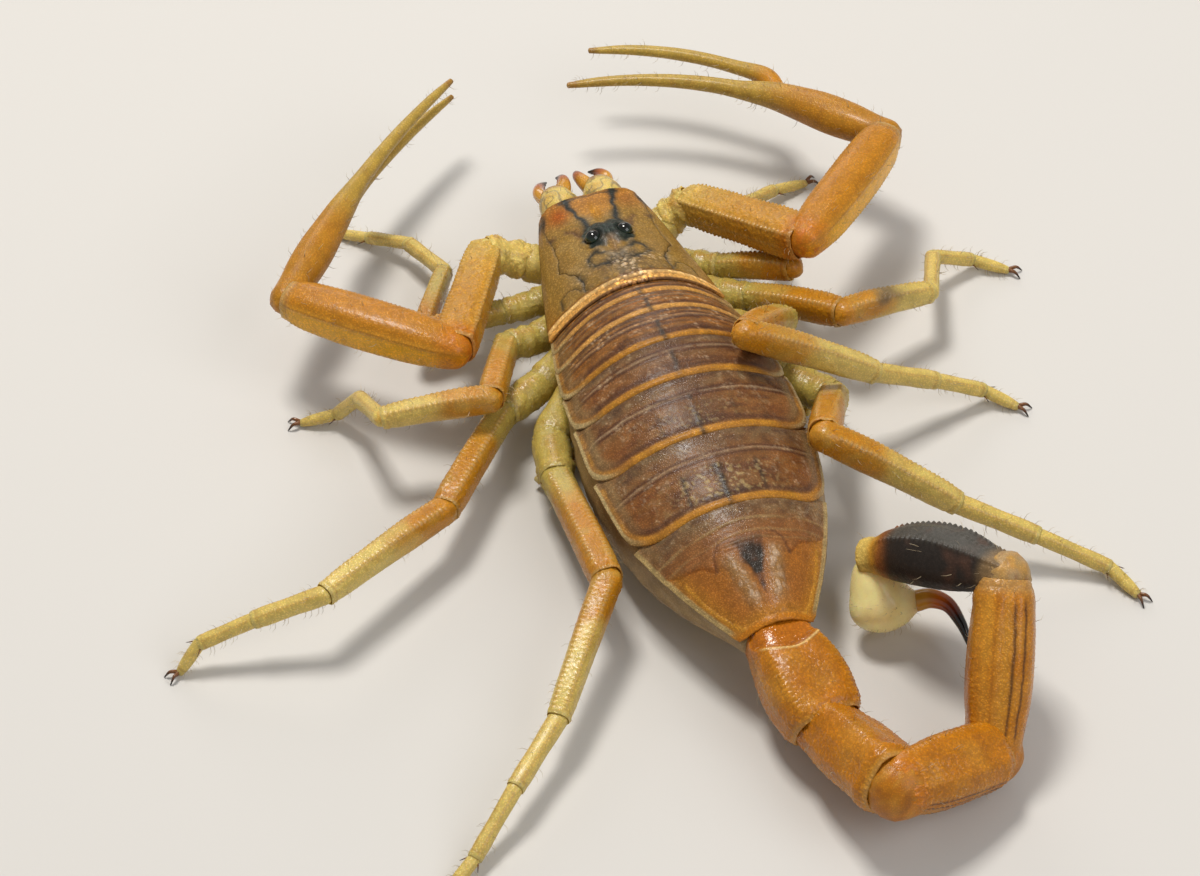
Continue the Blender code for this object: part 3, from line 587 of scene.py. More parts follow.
    tint = tint * (1 + 0.3 * grain + paleGrainGlint * (0.9 * grain - 0.22) + 0.16 * rearBand)[..., None]
    tint = tint + (0.07 * grain * dark * bare)[..., None] * (0.8, 1.1, 0.85)
    pale = rise(grain, 0.3, 0.7) * blotch(p, 0.4, 43, -0.2, 0.25) * np.maximum(centre, 0.9 * rearArea)
    tint = mix(tint, np.array(carapace["paleGrainGlint"]), 0.62 * pale)
    gloss = 0.46 - 0.2 * grain * (0.2 + rearArea + rearBand) + 0.05 * sheen
    sheet = patch(np.stack([x, y, z], -1), tint, gloss, wrap=False)
    shell(put("carapace_shell", [sheet], "carapace", ["carapace"]), carapace["thickness"])


tergites = {
    # one value for each plate, from the front
    "rears": [-1.15, -3.1, -5.9, -8.9, -13.0, -18.1, -25.8],
    "corner": [0.4, 0.7, 1.2, 1.5, 1.8, 2.0, 0.5],           # radius of the rear corners
    "band": [0.24, 0.28, 0.37, 0.40, 0.41, 0.41, 0.25],      # breadth of the bright rear band
    "rough": [1.0, 1.0, 0.9, 0.5, 0.5, 0.6, 0.5],
    "warm": [0.6, 0.35, 0.15, 0, 0, 0, 0],                   # how far its ground leans to the band's colour
    "stripe": [0.35, 0.4, 0.6, 0.65, 0.65, 0.5, 0.0],        # pale line on the crease
    # the pale crease line is partly a grey line of its own, partly a painted highlight on the step
    "frontLine": [0.2, 0.6, 0.75, 0.5, 0.2, 0.2, 0.0],
    "ripples": [0.75, 0.6, 0.35, 0, 0, 0, 0],
    "shadow": [0, 0, 0.1, 0.35, 0.5, 0.35, 0.15],            # along the middle
    "step": 0.082, "fineStep": 0.0615, "tuck": 0.5, "lap": 0.16, "hang": 0.12, "thickness": 0.13,
    "crease": 0.30,                                          # share of the length
    "innerKeel": [(1.5, -21.0), (1.05, -22.8), (0.62, -25.0)],      # marks of the last plate, mirrored
    "outerKeel": [(3.9, -21.4), (3.2, -23.3), (2.3, -24.9), (1.7, -25.6)],
    "panelEdge": [(4.9, -20.2), (4.1, -20.75), (2.8, -21.2), (2.25, -21.75), (2.1, -21.3)],
    "keelFoot": [(2.15, -21.9), (2.0, -20.9), (1.6, -20.5)],
    # colours of its own; the pale crease line and the last plate's pale keel patches are in part painted
    # highlights
    "creaseSheenGrey": (0.38, 0.27, 0.16), "granule": (0.80, 0.62, 0.40), "frontBand": (0.60, 0.30, 0.075),
    "rimPale": (0.52, 0.39, 0.18), "lastFront": (0.27, 0.105, 0.030), "lastRear": (0.32, 0.115, 0.022),
    "panel": (0.34, 0.122, 0.018), "chipGlint": (0.52, 0.37, 0.25),
}


def makeTergite(number):
    # side fraction by length, the rear corners drawn forward on a quarter circle; the height is the arch of
    # the back with the plate's relief, and rim is the distance to the outline
    i = number - 1
    last = number == 7
    own = {key: tergites[key][i] for key in ("rough", "warm", "stripe", "frontLine", "ripples", "shadow")}
    rough = own["rough"]
    front = ([-0.1] + tergites["rears"])[i] + tergites["tuck"]
    rear = tergites["rears"][i] - tergites["lap"]
    radius = tergites["corner"][i]
    widest = float(backAt(np.linspace(rear, front, 9))[0].max())
    step = tergites["fineStep" if last else "step"]
    columns = int(2.25 * widest / step)
    rows = max(int((front - rear) / step), 12)
    s, t = np.meshgrid(np.sin(np.linspace(-1, 1, columns) * 1.35) / np.sin(1.35), np.linspace(0, 1, rows))
    half = backAt(np.full(s.shape, rear + radius * 0.6))[0]
    inset = np.clip((np.abs(s) * half - half + radius) / radius, 0, 1)
    rearEdge = rear + radius * (1 - np.sqrt(1 - 0.985 * inset ** 2))
    y = front + (rearEdge - front) * t
    x = s * (backAt(y)[0] + tergites["hang"])
    ax = np.abs(x)
    z = backHeight(x, np.minimum(y, -0.0))
    p = np.stack([x, y, z], -1)
    seed = number * 17
    inX, inY = backAt(y)[0] + tergites["hang"] - ax, y - rear
    rounded = radius - np.hypot(np.minimum(inX - radius, 0), np.minimum(inY - radius, 0))
    rim = np.maximum(np.where((inX < radius) & (inY < radius), rounded, np.minimum(inX, inY)), 0)

    # masks: how far behind the plate before it, its side, its grey front zone, its band
    side = rise(ax / widest, 0.72, 0.97)
    seen = front - tergites["tuck"] - 0.15
    fromFront = seen - y
    long = seen - rear
    crease = tergites["crease"] * long
    wavy = fromFront + 0.08 * clouds(p * (0.4, 1, 1), 0.8, seed + 2)
    grain = grains(p, 0.2, seed) * blotch(p, 0.8, seed + 3, -0.5, 0.3)
    behind = rise(fromFront, crease, crease + 0.3)
    streak = clouds(p * (0.13, 1.0, 1.0), 0.30, seed + 7)
    speckle = clouds(p, 0.35, seed + 11)
    greyZone = rise(-wavy, -crease, -0.1) * rise(-side, -0.8, 0.0)
    band = tergites["band"][i]
    bandEdge = rim + 0.05 * clouds(p * (0.3, 1, 1), 0.5, seed + 19)
    bandMask = rise(-bandEdge, -band - 0.14, -band + 0.1) * rise(fromFront, -0.1, 0.1) * (not last)
    bandMask = bandMask * (1 - 0.45 * blotch(p * (0.5, 1, 1), 0.8, seed + 23, 0.1, 0.8))
    middle = bell(x + 0.08 * clouds(p, 0.5, seed + 15), -0.05, 0.15) * blotch(p, 0.5, seed + 17, -0.7, -0.1)
    ripples = rise(np.sin(2 * pi * wavy / 0.42 + 0.8), 0.1, 0.8) * rise(speckle, -0.6, 0.1)
    creases = np.clip(bell(wavy, crease - 0.1, 0.1) + bell(wavy, crease + 0.27, 0.12), 0, 1)

    # each plate dips under the one before it, steps up at a crease with fine lines and ends in a rolled rim
    lines = np.sin(2 * pi * wavy / 0.27) * bell(wavy, crease + 0.2, 0.42)
    z = z - 0.2 * rise(-fromFront, -0.25, 0.5) + 0.05 * rise(wavy, crease - 0.1, crease + 0.12)
    z = z + 0.016 * lines + (0.015 if last else 0.04) * (bell(rim, 0.15, 0.12) - bell(rim, 0.42, 0.14))
    z = z + 0.07 * side * bell(rim, 0.9, 0.5) * behind - 0.10 * rise(-rim, -0.12, 0.0)
    z = z + 0.015 * clouds(p * (0.3, 1, 1), 0.45, seed + 5) + 0.03 * bell(x, 0, 0.16) * behind
    z = z + 0.04 * grain * rough * (0.3 + 0.7 * behind)

    tint = layered(
        "mauve", p,
        ("band", own["warm"]),
        ("plum", 0.7 * rise(streak, 0.0, 0.6)),
        ("taupe", 0.65 * rise(-streak, 0.0, 0.6) * (0.35 + 0.65 * greyZone)),
        ("russet", 0.6 * rise(ax / widest, 0.3, 0.9) * blotch(p, 1.5, seed + 9, -0.7, 0.3) * behind),
        ("slate", 0.45 * greyZone),
        ("taupe", 0.4 * greyZone * rise(speckle, -0.2, 0.5)),
        ("plum", 0.88 * creases),
        # the pale crease line: partly grey of its own, partly a painted highlight where the plate steps up
        (tergites["creaseSheenGrey"], own["stripe"] * bell(wavy, crease + 0.08, 0.08) * rise(speckle, -0.9, 0.0)),
        # darker just behind the plate before, where this plate comes up from under it: partly a dark line of
        # its own, partly painted shade under that plate's edge
        ("plum", own["frontLine"] * bell(wavy, 0.22, 0.17)),
        (tergites["granule"], 0.55 * grain * rough * rise(speckle, -0.2, 0.4)),
        ("orange", own["ripples"] * ripples),
        ("plum", 0.8 * bell(rim, band + 0.26, 0.18) * (1 - side)),
        ("taupe", 0.6 * side * rise(-rim, -1.2, -0.5)),
        ("cream", 0.3 * side * bell(rim, 0.75, 0.2)),
        ("plum", own["shadow"] * bell(x, 0, 1.7)),
        (tergites["frontBand"] if number < 3 else "band", bandMask * (1 - 0.6 * side)),
        ("honey", 0.3 * bandMask * blotch(p, 0.3, seed + 13, 0.0, 0.6)),
        (tergites["rimPale"], 0.95 * side * rise(-rim, -0.22, -0.12) * rise(rim, -0.02, 0.03)),
        ("ink", (0.0 if last else 0.75) * middle * rise(fromFront, 0.25 * long, 0.45 * long)),
    )
    tint = tint * (1 + rough * (0.5 * grain - 0.12) * (number < 5))[..., None]
    if number in (5, 6):      # dark marks and fine pale grains behind the crease
        zone = rise(fromFront, 0.4 * long, 0.5 * long) * rise(rim, band, band + 0.4)
        zone = zone * (1.0 if number == 6 else 0.45)
        dark = 0.55 * blotch(p, 0.7, seed + 21, -0.1, 0.5) * bell(x, 0, 2.0)
        dark = dark + 0.7 * bell(ax + 0.1 * speckle, 2.25, 0.12) + 0.6 * bell(x + 0.1 * speckle, -0.15, 0.28)
        fine = blotch(p, 0.17, seed + 29, 0.15, 0.6) * bell(x, 0, 3.0)
        tint = layered(tint, p, ("ink", 0.85 * dark * zone), ("cream", 0.75 * zone * fine))
        z = z + 0.02 * fine * zone
    gloss = 0.40 - 0.14 * greyZone + 0.06 * speckle - 0.14 * grain + 0.05 * side
    if last:
        tint, lift = lastPlate(tint, p, rim)
        z = z + lift
    sheet = patch(np.stack([x, y, z], -1), tint, gloss, wrap=False)
    piece = put("tergite_shell_%d" % number, [sheet], "tergites", ["tergite_%d" % number])
    shell(piece, tergites["thickness"])


def lastPlate(tint, p, rim):
    # a dark wedge between two rough keels that run together, smooth panels outside them with a beaded line:
    # soft lines through the marks' points raise or sink the plate and colour it
    x, y = p[..., 0], p[..., 1]
    ax = np.abs(x) + 0.05 * clouds(p, 0.4, 207)
    grain = grains(p, 0.21, 91)
    inner = strokes(ax + 0.15 * clouds(p, 0.45, 213), y, tergites["innerKeel"], 0.3)
    wide = strokes(ax, y, tergites["innerKeel"], 0.5)
    outer = strokes(ax, y, tergites["outerKeel"], 0.09)
    chips = blotch(p * (1.5, 0.5, 1), 0.2, 211, 0.0, 0.5) * blotch(p, 0.7, 217, -0.7, 0.2)
    edge = strokes(ax, y, tergites["panelEdge"], 0.1)
    beads = 0.4 + 0.6 * np.abs(np.sin(pi * y / 0.27))
    keelAt = through(-y, [(-k[1], k[0]) for k in tergites["innerKeel"]])[..., 0]
    edgeAt = -through(ax, [(k[0], -k[1]) for k in tergites["panelEdge"][3::-1]])[..., 0]
    panel = rise(ax - keelAt, 0.2, 0.45) * rise(edgeAt - y, -0.05, 0.15) * rise(rim, 0.35, 0.6)
    vee = 0.95 * (1 - (-y - 20.6) / 3.4) - ax + 0.12 * clouds(p, 0.5, 221)
    vee = rise(vee, -0.15, 0.25) * rise(-y, 20.2, 21.5)
    along = rise(-y, 21.0, 22.0) * rise(y, -25.2, -24.0)
    wavy = y + 0.12 * clouds(p * (0.4, 1, 1), 0.9, 215) + 0.05 * ax
    ridges = bell(wavy, -19.35, 0.07) + 0.7 * bell(wavy, -20.2, 0.08) + 0.5 * bell(wavy, -20.75, 0.06)
    ridges = ridges * blotch(p * (0.5, 1, 1), 1.0, 219, -0.6, 0.3)
    lift = 0.055 * inner * chips * along + 0.03 * inner * grain + 0.13 * wide * rise(-y, 20.6, 22.5)
    lift = lift + 0.05 * outer * beads - 0.06 * panel - 0.05 * edge + 0.03 * ridges
    lift = lift - 0.12 * bell(x, 0, 0.5) * bell(y, -23.2, 1.5) - 0.03 * bell(y, -25.5, 0.1)
    tint = layered(
        tint, p,
        (tergites["lastFront"], 0.7 * rise(-y, 18.6, 20.6)),
        (tergites["lastRear"], 0.85 * rise(-y, 20.4, 22.8)),
        ("orange", 0.35 * rise(-y, 23.5, 25.5)),
        # cream on the fine cross ridges is a painted highlight along them
        ("cream", 0.4 * ridges),
        (tergites["panel"], 0.85 * panel * blotch(p, 1.4, 201, -1.2, 0.2)),
        ("deep", 0.65 * edge),
        ("taupe", 0.45 * wide * rise(y, -25.8, -24.2) * rise(-y, 20.8, 22.0)),
        # the pale keel patches: partly the keels' own pale colour, partly painted glints on them
        ("cream", 0.18 * inner * along),
        (tergites["chipGlint"], 0.7 * inner * chips * along),
        ("plum", 0.9 * vee), ("ink", 0.85 * vee * blotch(p, 0.5, 205, -0.8, 0.0)),
        ("honey", 0.55 * outer * beads),
        ("honey", 0.3 * rise(-rim, -1.3, -0.4) * rise(-y, 20, 21)),
        ("plum", 0.6 * strokes(ax, y, tergites["keelFoot"], 0.1)),
        ("orange", 0.8 * rise(-y, 25.55, 25.75)),
        ("cream", 0.9 * rise(-rim, -0.34, -0.2) * rise(y, -25.6, -25.0)),
    )
    return tint, lift


underside = {
    "front": 0.6, "rear": -25.9, "rows": 190, "columns": 84,
    "top": 0.42,              # share of the loop that runs under the back, and its depth below it
    "plates": [-8.6, -11.6, -14.7, -17.9],                   # rear edges, overlapping like the back's
}


def makeUnderside():
    # closed loop round the soft body, mirrored: w runs under the plates, then turns a quarter round the
    # swollen side, as powers of the cosine and sine, and in under the belly plates
    y = np.linspace(underside["front"], underside["rear"], underside["rows"])[:, None]
    w = np.linspace(0, 1, underside["columns"])[None]
    y = np.broadcast_to(y, (underside["rows"], underside["columns"]))
    bottom, half = np.moveaxis(through(y, trunk["belly"]), -1, 0)
    plate, _, edge = backAt(np.minimum(y, 0))
    roofed = w < underside["top"]
    under = np.clip(w / underside["top"], 0, 1)
    turn = np.clip((w - underside["top"]) / (1 - underside["top"]), 0, 1) * pi / 2
    level = bottom + 0.62 * (edge - 0.4 - bottom)
    x = np.where(roofed, (plate - 0.1) * under, half * np.abs(np.cos(turn)) ** 0.62)
    zTop = backHeight(np.minimum(x, plate), np.minimum(y, 0)) - 0.42
    zLow = level - (level - bottom) * np.abs(np.sin(turn)) ** 0.8
    lip = rise(turn, 0, 0.5)
    z = np.where(roofed, zTop, zLow + (edge - 0.42 - level) * (1 - lip) ** 1.5)
    x = np.where(roofed, x, (plate - 0.1) + (x - (plate - 0.1)) * rise(turn, 0, 0.28))
    sides = rise(turn, 0.02, 0.2) * rise(-turn, -1.15, -0.8)
    p = np.stack([x, y, z], -1)
    folds = clouds(p * (1, 0.45, 2.2), 0.55, 301)
    x = x + 0.10 * folds * sides
    belly = rise(turn, 0.75, 1.0)
    for rear in underside["plates"]:
        z = z - 0.10 * bell(y, rear, 0.22) * belly
        z = z + 0.12 * rise(-y, -rear, -rear + 0.2) * rise(y, rear - 1.2, rear) * belly
    seams = sum(bell(y, rear, 0.14) for rear in underside["plates"])
    breath = sum(bell(y, rear + 1.5, 0.13) for rear in underside["plates"]) * bell(x, 3.4, 0.5) * belly
    tint = layered(
        "skin", p,
        ("taupe", 0.6 * rise(folds, -0.1, 0.7) * sides + 0.35 * rise(turn, 0.25, 0.0)),
        ("belly", belly),
        ("russet", 0.45 * np.clip(seams, 0, 1) * belly),
        ("ink", 0.8 * np.clip(breath, 0, 1)),
        ("amber", 0.5 * belly * rise(-y, 18.5, 24)),
    )
    right = np.stack([x, y, z + 0.12 * np.clip(breath, 0, 1)], -1)
    left = right[:, -2:0:-1] * (-1, 1, 1)
    body = patch(np.concatenate([right, left], axis=1), np.concatenate([tint, tint[:, -2:0:-1]], axis=1), 0.5)
    put("soft_abdomen", [outward(body)], "skin", ["abdomen_underside"])


print("desert scorpion: back")
makeCarapace()
for plateNumber in range(1, 8):
    makeTergite(plateNumber)
makeUnderside()


def makeEyes():
    # slightly flattened balls, radius times direction; a green-black cornea with a darker middle
    for side, sign in (("left", -1), ("right", 1)):
        way, down = ball(28, 40, 0.05)
        middle = np.array((sign * eyes["x"], eyes["y"] - eyes["back"], eyes["z"]))
        grid = eyes["radius"] * eyes["proud"] * way * (1, 1, 0.96) + middle
        tint = layered(tints["black"] * 0.4, grid, ((0.012, 0.030, 0.018), bell(down, 1.2, 0.4)))
        put("eye_glass_" + side, [outward(patch(grid, tint, 0.05))], "eye", ["eye_" + side])
    small = []
    for sign in (-1, 1):
        for x, y, z, r in eyes["lateral"]:
            grid = r * ball(9, 12, 0.1)[0] + (sign * x, y, z)
            small.append(outward(patch(grid, tints["black"], 0.08)))
    put("side_eyes", small, "eye", [])


makeEyes()

# limbs

hairRoots = []                # (sweep, how many, length) rows for the coat


def limb(paint, **shape):     # a sweep, painted and kept for the hairs
    made = sweep(shape)
    tint, gloss = paint(made)
    hairRoots.append((made, shape.get("hairs", 0), shape.get("hairLength", 0.5)))
    return outward(patch(made["grid"], tint, gloss))


legs = {
    # link lengths from the hip out: trochanter, femur, patella, tibia, basitarsus, telotarsus
    "lengths": {1: (2.0, 5.3, 5.9, 4.0, 3.2, 2.3), 2: (2.2, 6.9, 6.6, 4.3, 3.1, 2.3),
                3: (3.3, 8.8, 9.7, 4.5, 3.5, 2.2), 4: (3.6, 9.7, 9.3, 5.1, 4.6, 2.3)},
    "radii": {1: (0.8, 0.72, 0.68, 0.5, 0.42, 0.36), 2: (0.9, 0.85, 0.8, 0.55, 0.45, 0.38),
              3: (1.0, 0.9, 0.85, 0.6, 0.48, 0.4), 4: (1.1, 1.0, 0.9, 0.62, 0.5, 0.42)},
    "roots": {1: (2.0, 6.2, 2.6), 2: (2.0, 4.4, 2.5), 3: (2.0, 2.6, 2.5), 4: (2.0, 1.2, 2.5)},
    "hips": {1: (5.1, 5.3, 2.8), 2: (5.8, 2.4, 2.8), 3: (6.5, -1.2, 2.8), 4: (7.4, -5.6, 2.8)},
    # heading of each link away from straight ahead, outwards, and height of its far joint
    "pose": {
        "left_1": [(88, 2.7), (93, 2.9), (-30, 2.4), (20, 1.7), (42, 0.7), (50, 0.28)],
        "left_2": [(104, 3.5), (156, 5.9), (80, 5.4), (8, 3.4), (40, 0.9), (75, 0.28)],
        "left_3": [(118, 3.0), (140, 3.6), (118, 4.4), (82, 3.1), (84, 1.9), (105, 0.28)],
        "left_4": [(170, 3.2), (-179, 4.7), (144, 3.0), (134, 2.5), (130, 0.9), (122, 0.28)],
        "right_1": [(130, 3.2), (134, 5.2), (4, 2.6), (-8, 1.9), (60, 0.8), (80, 0.28)],
        "right_2": [(128, 3.1), (140, 5.3), (78, 3.5), (22, 2.3), (85, 0.8), (120, 0.28)],
        "right_3": [(135, 4.9), (218, 10.6), (95, 5.0), (90, 2.8), (94, 1.0), (128, 0.28)],
        "right_4": [(144, 3.2), (203, 8.8), (117, 3.9), (123, 2.3), (125, 0.8), (155, 0.28)],
    },
    "claw": {"reach": 0.85, "spread": 0.36, "radii": [(0, 0.13, 0.16), (0.5, 0.09, 0.11), (1, 0.03, 0.035)],
             "spur": [(0, 0.06, 0.06), (1, 0.018, 0.018)]},
}


def legJoints(name):
    # from joint to joint: each link's run along the floor is the root of its length squared less its rise
    # squared, in the direction of its heading
    side, number = name.split("_")
    number = int(number)
    sign = -1 if side == "left" else 1
    joints = [np.array(legs[key][number]) * (sign, 1, 1) for key in ("roots", "hips")]
    for length, (heading, height) in zip(legs["lengths"][number], legs["pose"][name]):
        last = joints[-1]
        run = sqrt(length ** 2 - (height - last[2]) ** 2)
        turn = radians(heading)
        joints.append(np.array((last[0] + sign * run * np.sin(turn), last[1] + run * np.cos(turn), height)))
    return joints


def limbUp(a, b):             # the upper side of a link: square to it, as near the vertical as can be
    along = unit(b - a)
    up = np.array((0, 0, 1.0)) - along * along[2]
    return unit(up) if np.linalg.norm(up) > 0.05 else np.array((0, 1.0, 0))


def legPaint(nearColour, farColour, seed=0, dark=0.0, turnAt=0.45):
    # near colour turning into far colour along the link, with pale keels and a dark rim before its pale end
    def paint(made):
        p, t, up = made["grid"], made["t"], np.sin(made["angle"])
        far, length = made["far"], made["length"]
        tint = layered(
            nearColour, p,
            (farColour, rise(t + 0.15 * clouds(p, 1.0, seed), turnAt - 0.25, turnAt + 0.25)),
            ("moss", 0.3 * blotch(p, 0.9, seed + 1, 0.1, 0.8)),
            ("deep", 0.16 * blotch(p, 0.4, seed + 4, 0.2, 0.8)),
            ("straw", 0.3 * rise(-up, 0.2, 0.9)),
            ("honey", 0.4 * made["keel"]), ("cream", 0.55 * made["tooth"]),
            ("slate", dark * bell(t, 0.45, 0.2) * rise(up, -0.2, 0.8) * blotch(p, 0.8, seed + 2, -0.8, 0.2)),
            ("russet", 0.3 * bell(far, length - 0.3, 0.08)),
            ("cream", 0.35 * rise(far, length - 0.16, length - 0.06)),
        )
        return tint, 0.38 + 0.06 * clouds(p, 0.35, seed + 3) - 0.1 * made["keel"] - 0.08 * made["grain"]
    return paint


# share of the near and far radius along each kind of link, sideways and upwards
linkShapes = {
    "hip": [(0, 0.92, 0.92), (0.2, 1.04, 1.0), (0.45, 1.08, 1.04), (0.62, 1.0, 0.97), (0.82, 1.06, 1.04),
            (1, 0.93, 0.94)],
    "thigh": [(0, 0.93, 0.95), (0.10, 0.92, 1.0), (0.3, 0.92, 1.1), (0.7, 0.96, 1.16), (0.88, 0.98, 1.12),
              (1, 0.93, 0.98)],
    "shin": [(0, 0.95, 0.97), (0.08, 0.96, 1.05), (0.25, 0.98, 1.2), (0.6, 1.0, 1.18), (0.9, 1.03, 1.14),
             (1, 1.0, 1.02)],
    "ankle": [(0, 0.92, 0.92), (0.12, 0.94, 0.98), (0.5, 0.92, 1.0), (0.88, 1.03, 1.08), (1, 1.0, 1.02)],
    "toe": [(0, 0.92, 0.92), (0.3, 0.95, 1.0), (0.75, 0.92, 0.9), (1, 0.72, 0.66)],
}
# keels: angle from the side, height, breadth in degrees, spacing of the beads, first and last place along
legKeels = {
    "rough": [*mirrored((62, 0.10, 9, 0.33, 0.03, 0.97)),
              (-72, 0.07, 10, 0.33, 0.08, 0.95), (-108, 0.06, 10, 0.33, 0.08, 0.95)],
    "smooth": mirrored((58, 0.035, 9, 0.26, 0.04, 0.96)) + [(-70, 0.03, 9, 0.26, 0.08, 0.95)],
}


def legLink(kind, a, b, near, far, seed, paint, hairs, **extra):
    # radius is the share above of near turning evenly into far; the far end stops short of the joint with a
    # lip, and the next link's round end sits in it
    even = [(row, near + (far - near) * row[0]) for row in linkShapes[kind]]
    table = [(t, size * w, size * h) for (t, w, h), size in even]
    toe = kind == "toe"
    last = b - unit(b - a) * far * (0 if toe else 0.12)
    caps = (near * 0.85, far * 0.5 if toe else -0.3)
    return limb(paint, path=[a, last], up=limbUp(a, b), ends=caps, profile=table, seed=seed, hairs=hairs,
                **extra)


def clawPaint(made):          # brown turning black towards the tip
    return layered((0.20, 0.085, 0.03), made["grid"], ("black", rise(made["t"], 0.3, 0.9))), 0.2


def makeClaws(sole, tip, radius):
    # two curved claws spread from the tip and two spurs below the last joint: sweeps of a shrinking radius
    out = unit((tip - sole) * (1, 1, 0))
    across = np.array((out[1], -out[0], 0))
    reach, spread = legs["claw"]["reach"], legs["claw"]["spread"]
    claws = []
    for sign in (-1, 1):
        end = tip + out * reach + across * (sign * spread)
        bend = tip + out * 0.6 * reach + across * (sign * spread * 0.65) + (0, 0, 0.14)
        path = [tip + (0, 0, 0.02), bend, (end[0], end[1], 0.06)]
        claws.append(limb(clawPaint, path=path, ends=(0.1, 0.03), step=0.05, profile=legs["claw"]["radii"]))
        sideways = across * (sign * radius)
        path = [sole + sideways * 0.7, sole + out * 0.5 + sideways * 1.6 - (0, 0, 0.2)]
        claws.append(limb(clawPaint, path=path, ends=(0.05, 0.02), step=0.06, profile=legs["claw"]["spur"]))
    return claws


def makeLeg(name):
    # six links between the leg's joints; gives back the balls of skin for them, as (place, radius, colour)
    number = int(name[-1])
    hip, thigh, knee, ankle, heel, sole, tip = legJoints(name)[1:]
    r = legs["radii"][number]
    seed = sum(ord(letter) for letter in name)
    first = legLink("hip", hip, thigh, r[0], r[0] * 0.98, seed, legPaint("moss", "moss", seed), 16,
                    rim=0.025, wrinkles=(0.06, 0.45), grain=(0.03, 0.2), power=2.3,
                    keels=[(90, 0.06, 16, 0.28, 0.2, 0.9)])
    thighPaint = legPaint("moss", "apricot", seed + 5, turnAt=0.3)
    second = legLink("thigh", thigh, knee, r[1], r[1], seed + 1, thighPaint, 44, grain=(0.035, 0.2), rim=0.02,
                     power=2.7, keels=legKeels["rough"], bow=limbUp(thigh, knee) * 0.12, step=0.082)
    put("leg_%s_thigh" % name, [first, second], "legs", ["leg_%s_femur" % name])
    shinPaint = legPaint("apricot", "straw" if number > 1 else "moss", seed + 9,
                         0.8 if name == "right_2" else 0.0, turnAt=0.42)
    third = legLink("shin", knee, ankle, r[2], r[3] * 1.08, seed + 2, shinPaint, 50, grain=(0.02, 0.2),
                    rim=0.02, power=2.7, keels=legKeels["rough"], bow=limbUp(knee, ankle) * 0.1, step=0.082)
    put("leg_%s_shin" % name, [third], "legs", ["leg_%s_patella" % name])
    pale = legPaint("straw", "straw", seed + 13)
    foot = [legLink("ankle", ankle, heel, r[3], r[4] * 1.05, seed + 3, pale, 40, rim=0.015, power=2.5,
                    keels=legKeels["smooth"], step=0.078),
            legLink("ankle", heel, sole, r[4], r[5] * 1.05, seed + 4, pale, 36, rim=0.015,
                    keels=legKeels["smooth"], step=0.075),
            legLink("toe", sole, tip, r[5], r[5] * 0.9, seed + 5, pale, 34, step=0.07)]
    put("leg_%s_tarsus" % name, foot + makeClaws(sole, tip, r[5]), "legs", ["leg_%s_foot" % name])
    return [(thigh, r[1] * 0.98, "moss"), (knee, r[2] * 0.98, "apricot"), (ankle, r[3] * 0.95, "straw"),
            (heel, r[4] * 0.9, "straw"), (sole, r[5] * 0.9, "straw"), (hip, r[0] * 0.92, "moss")]


print("desert scorpion: legs")
skins = []
for legName in legs["pose"]:
    skins += makeLeg(legName)

arms = {
    "joints": {
        "left": [(-2.6, 6.9, 2.9), (-4.7, 8.3, 3.5), (-7.1, 8.6, 4.6), (-11.5, 0.1, 6.4), (-20.0, 7.3, 6.6)],
        "right": [(2.6, 6.9, 2.9), (4.5, 8.6, 3.6), (6.1, 8.3, 4.8), (10.9, 0.3, 7.8), (18.9, 8.1, 6.6)],
    },
    "handLength": 8.6, "fingerLength": 12.8, "spacing": 1.4, "knuckle": 0.95,
    "hand": {
        "left": dict(heading=39, drop=0.4, fingerHeading=47, fingerDrop=0.6, opening=-3, bow=-0.4, roll=70),
        "right": dict(heading=-38, drop=0.8, fingerHeading=-63, fingerDrop=0.6, opening=8, bow=0.9, roll=0),
    },
    "teeth": 30, "tooth": 0.05, "bigTooth": 0.075,           # every fifth one is big
    "edge": 58,               # degrees from the top to the outer edge
    "seeds": {"left": 400, "right": 500},
    # along each link: place, half width, half height
    "trochanter": [(0, 0.95, 0.95), (0.2, 1.18, 1.12), (0.5, 1.02, 0.98), (0.8, 1.26, 1.2), (1, 1.12, 1.08)],
    "femur": [(0, 1.04, 1.0), (0.08, 1.12, 1.06), (0.5, 1.24, 1.12), (0.85, 1.30, 1.18), (0.95, 1.26, 1.16),
              (1, 1.16, 1.1)],
    "patella": [(0, 1.12, 1.1), (0.06, 1.22, 1.22), (0.16, 1.34, 1.38), (0.4, 1.42, 1.50), (0.75, 1.38, 1.45),
                (0.9, 1.26, 1.30), (1, 1.02, 1.04)],
    "palm": [(0, 0.98, 0.98), (0.04, 1.0, 0.98), (0.12, 1.18, 1.12), (0.2, 1.22, 1.15), (0.3, 1.06, 1.0),
             (0.4, 0.82, 0.8), (0.5, 0.56, 0.55), (0.62, 0.47, 0.45), (0.8, 0.37, 0.35), (0.95, 0.27, 0.25),
             (1, 0.18, 0.18)],
    "finger": [(0, 0.55, 0.5), (0.1, 0.62, 0.56), (0.25, 0.47, 0.45), (0.6, 0.39, 0.37), (0.9, 0.27, 0.25),
               (1, 0.17, 0.17)],
}


def headed(heading, drop, length):
    # a straight run of that length: its part along the floor is the root of length squared less drop squared
    turn = radians(heading)
    run = sqrt(length ** 2 - drop ** 2)
    return np.array((run * np.sin(turn), run * np.cos(turn), -drop))


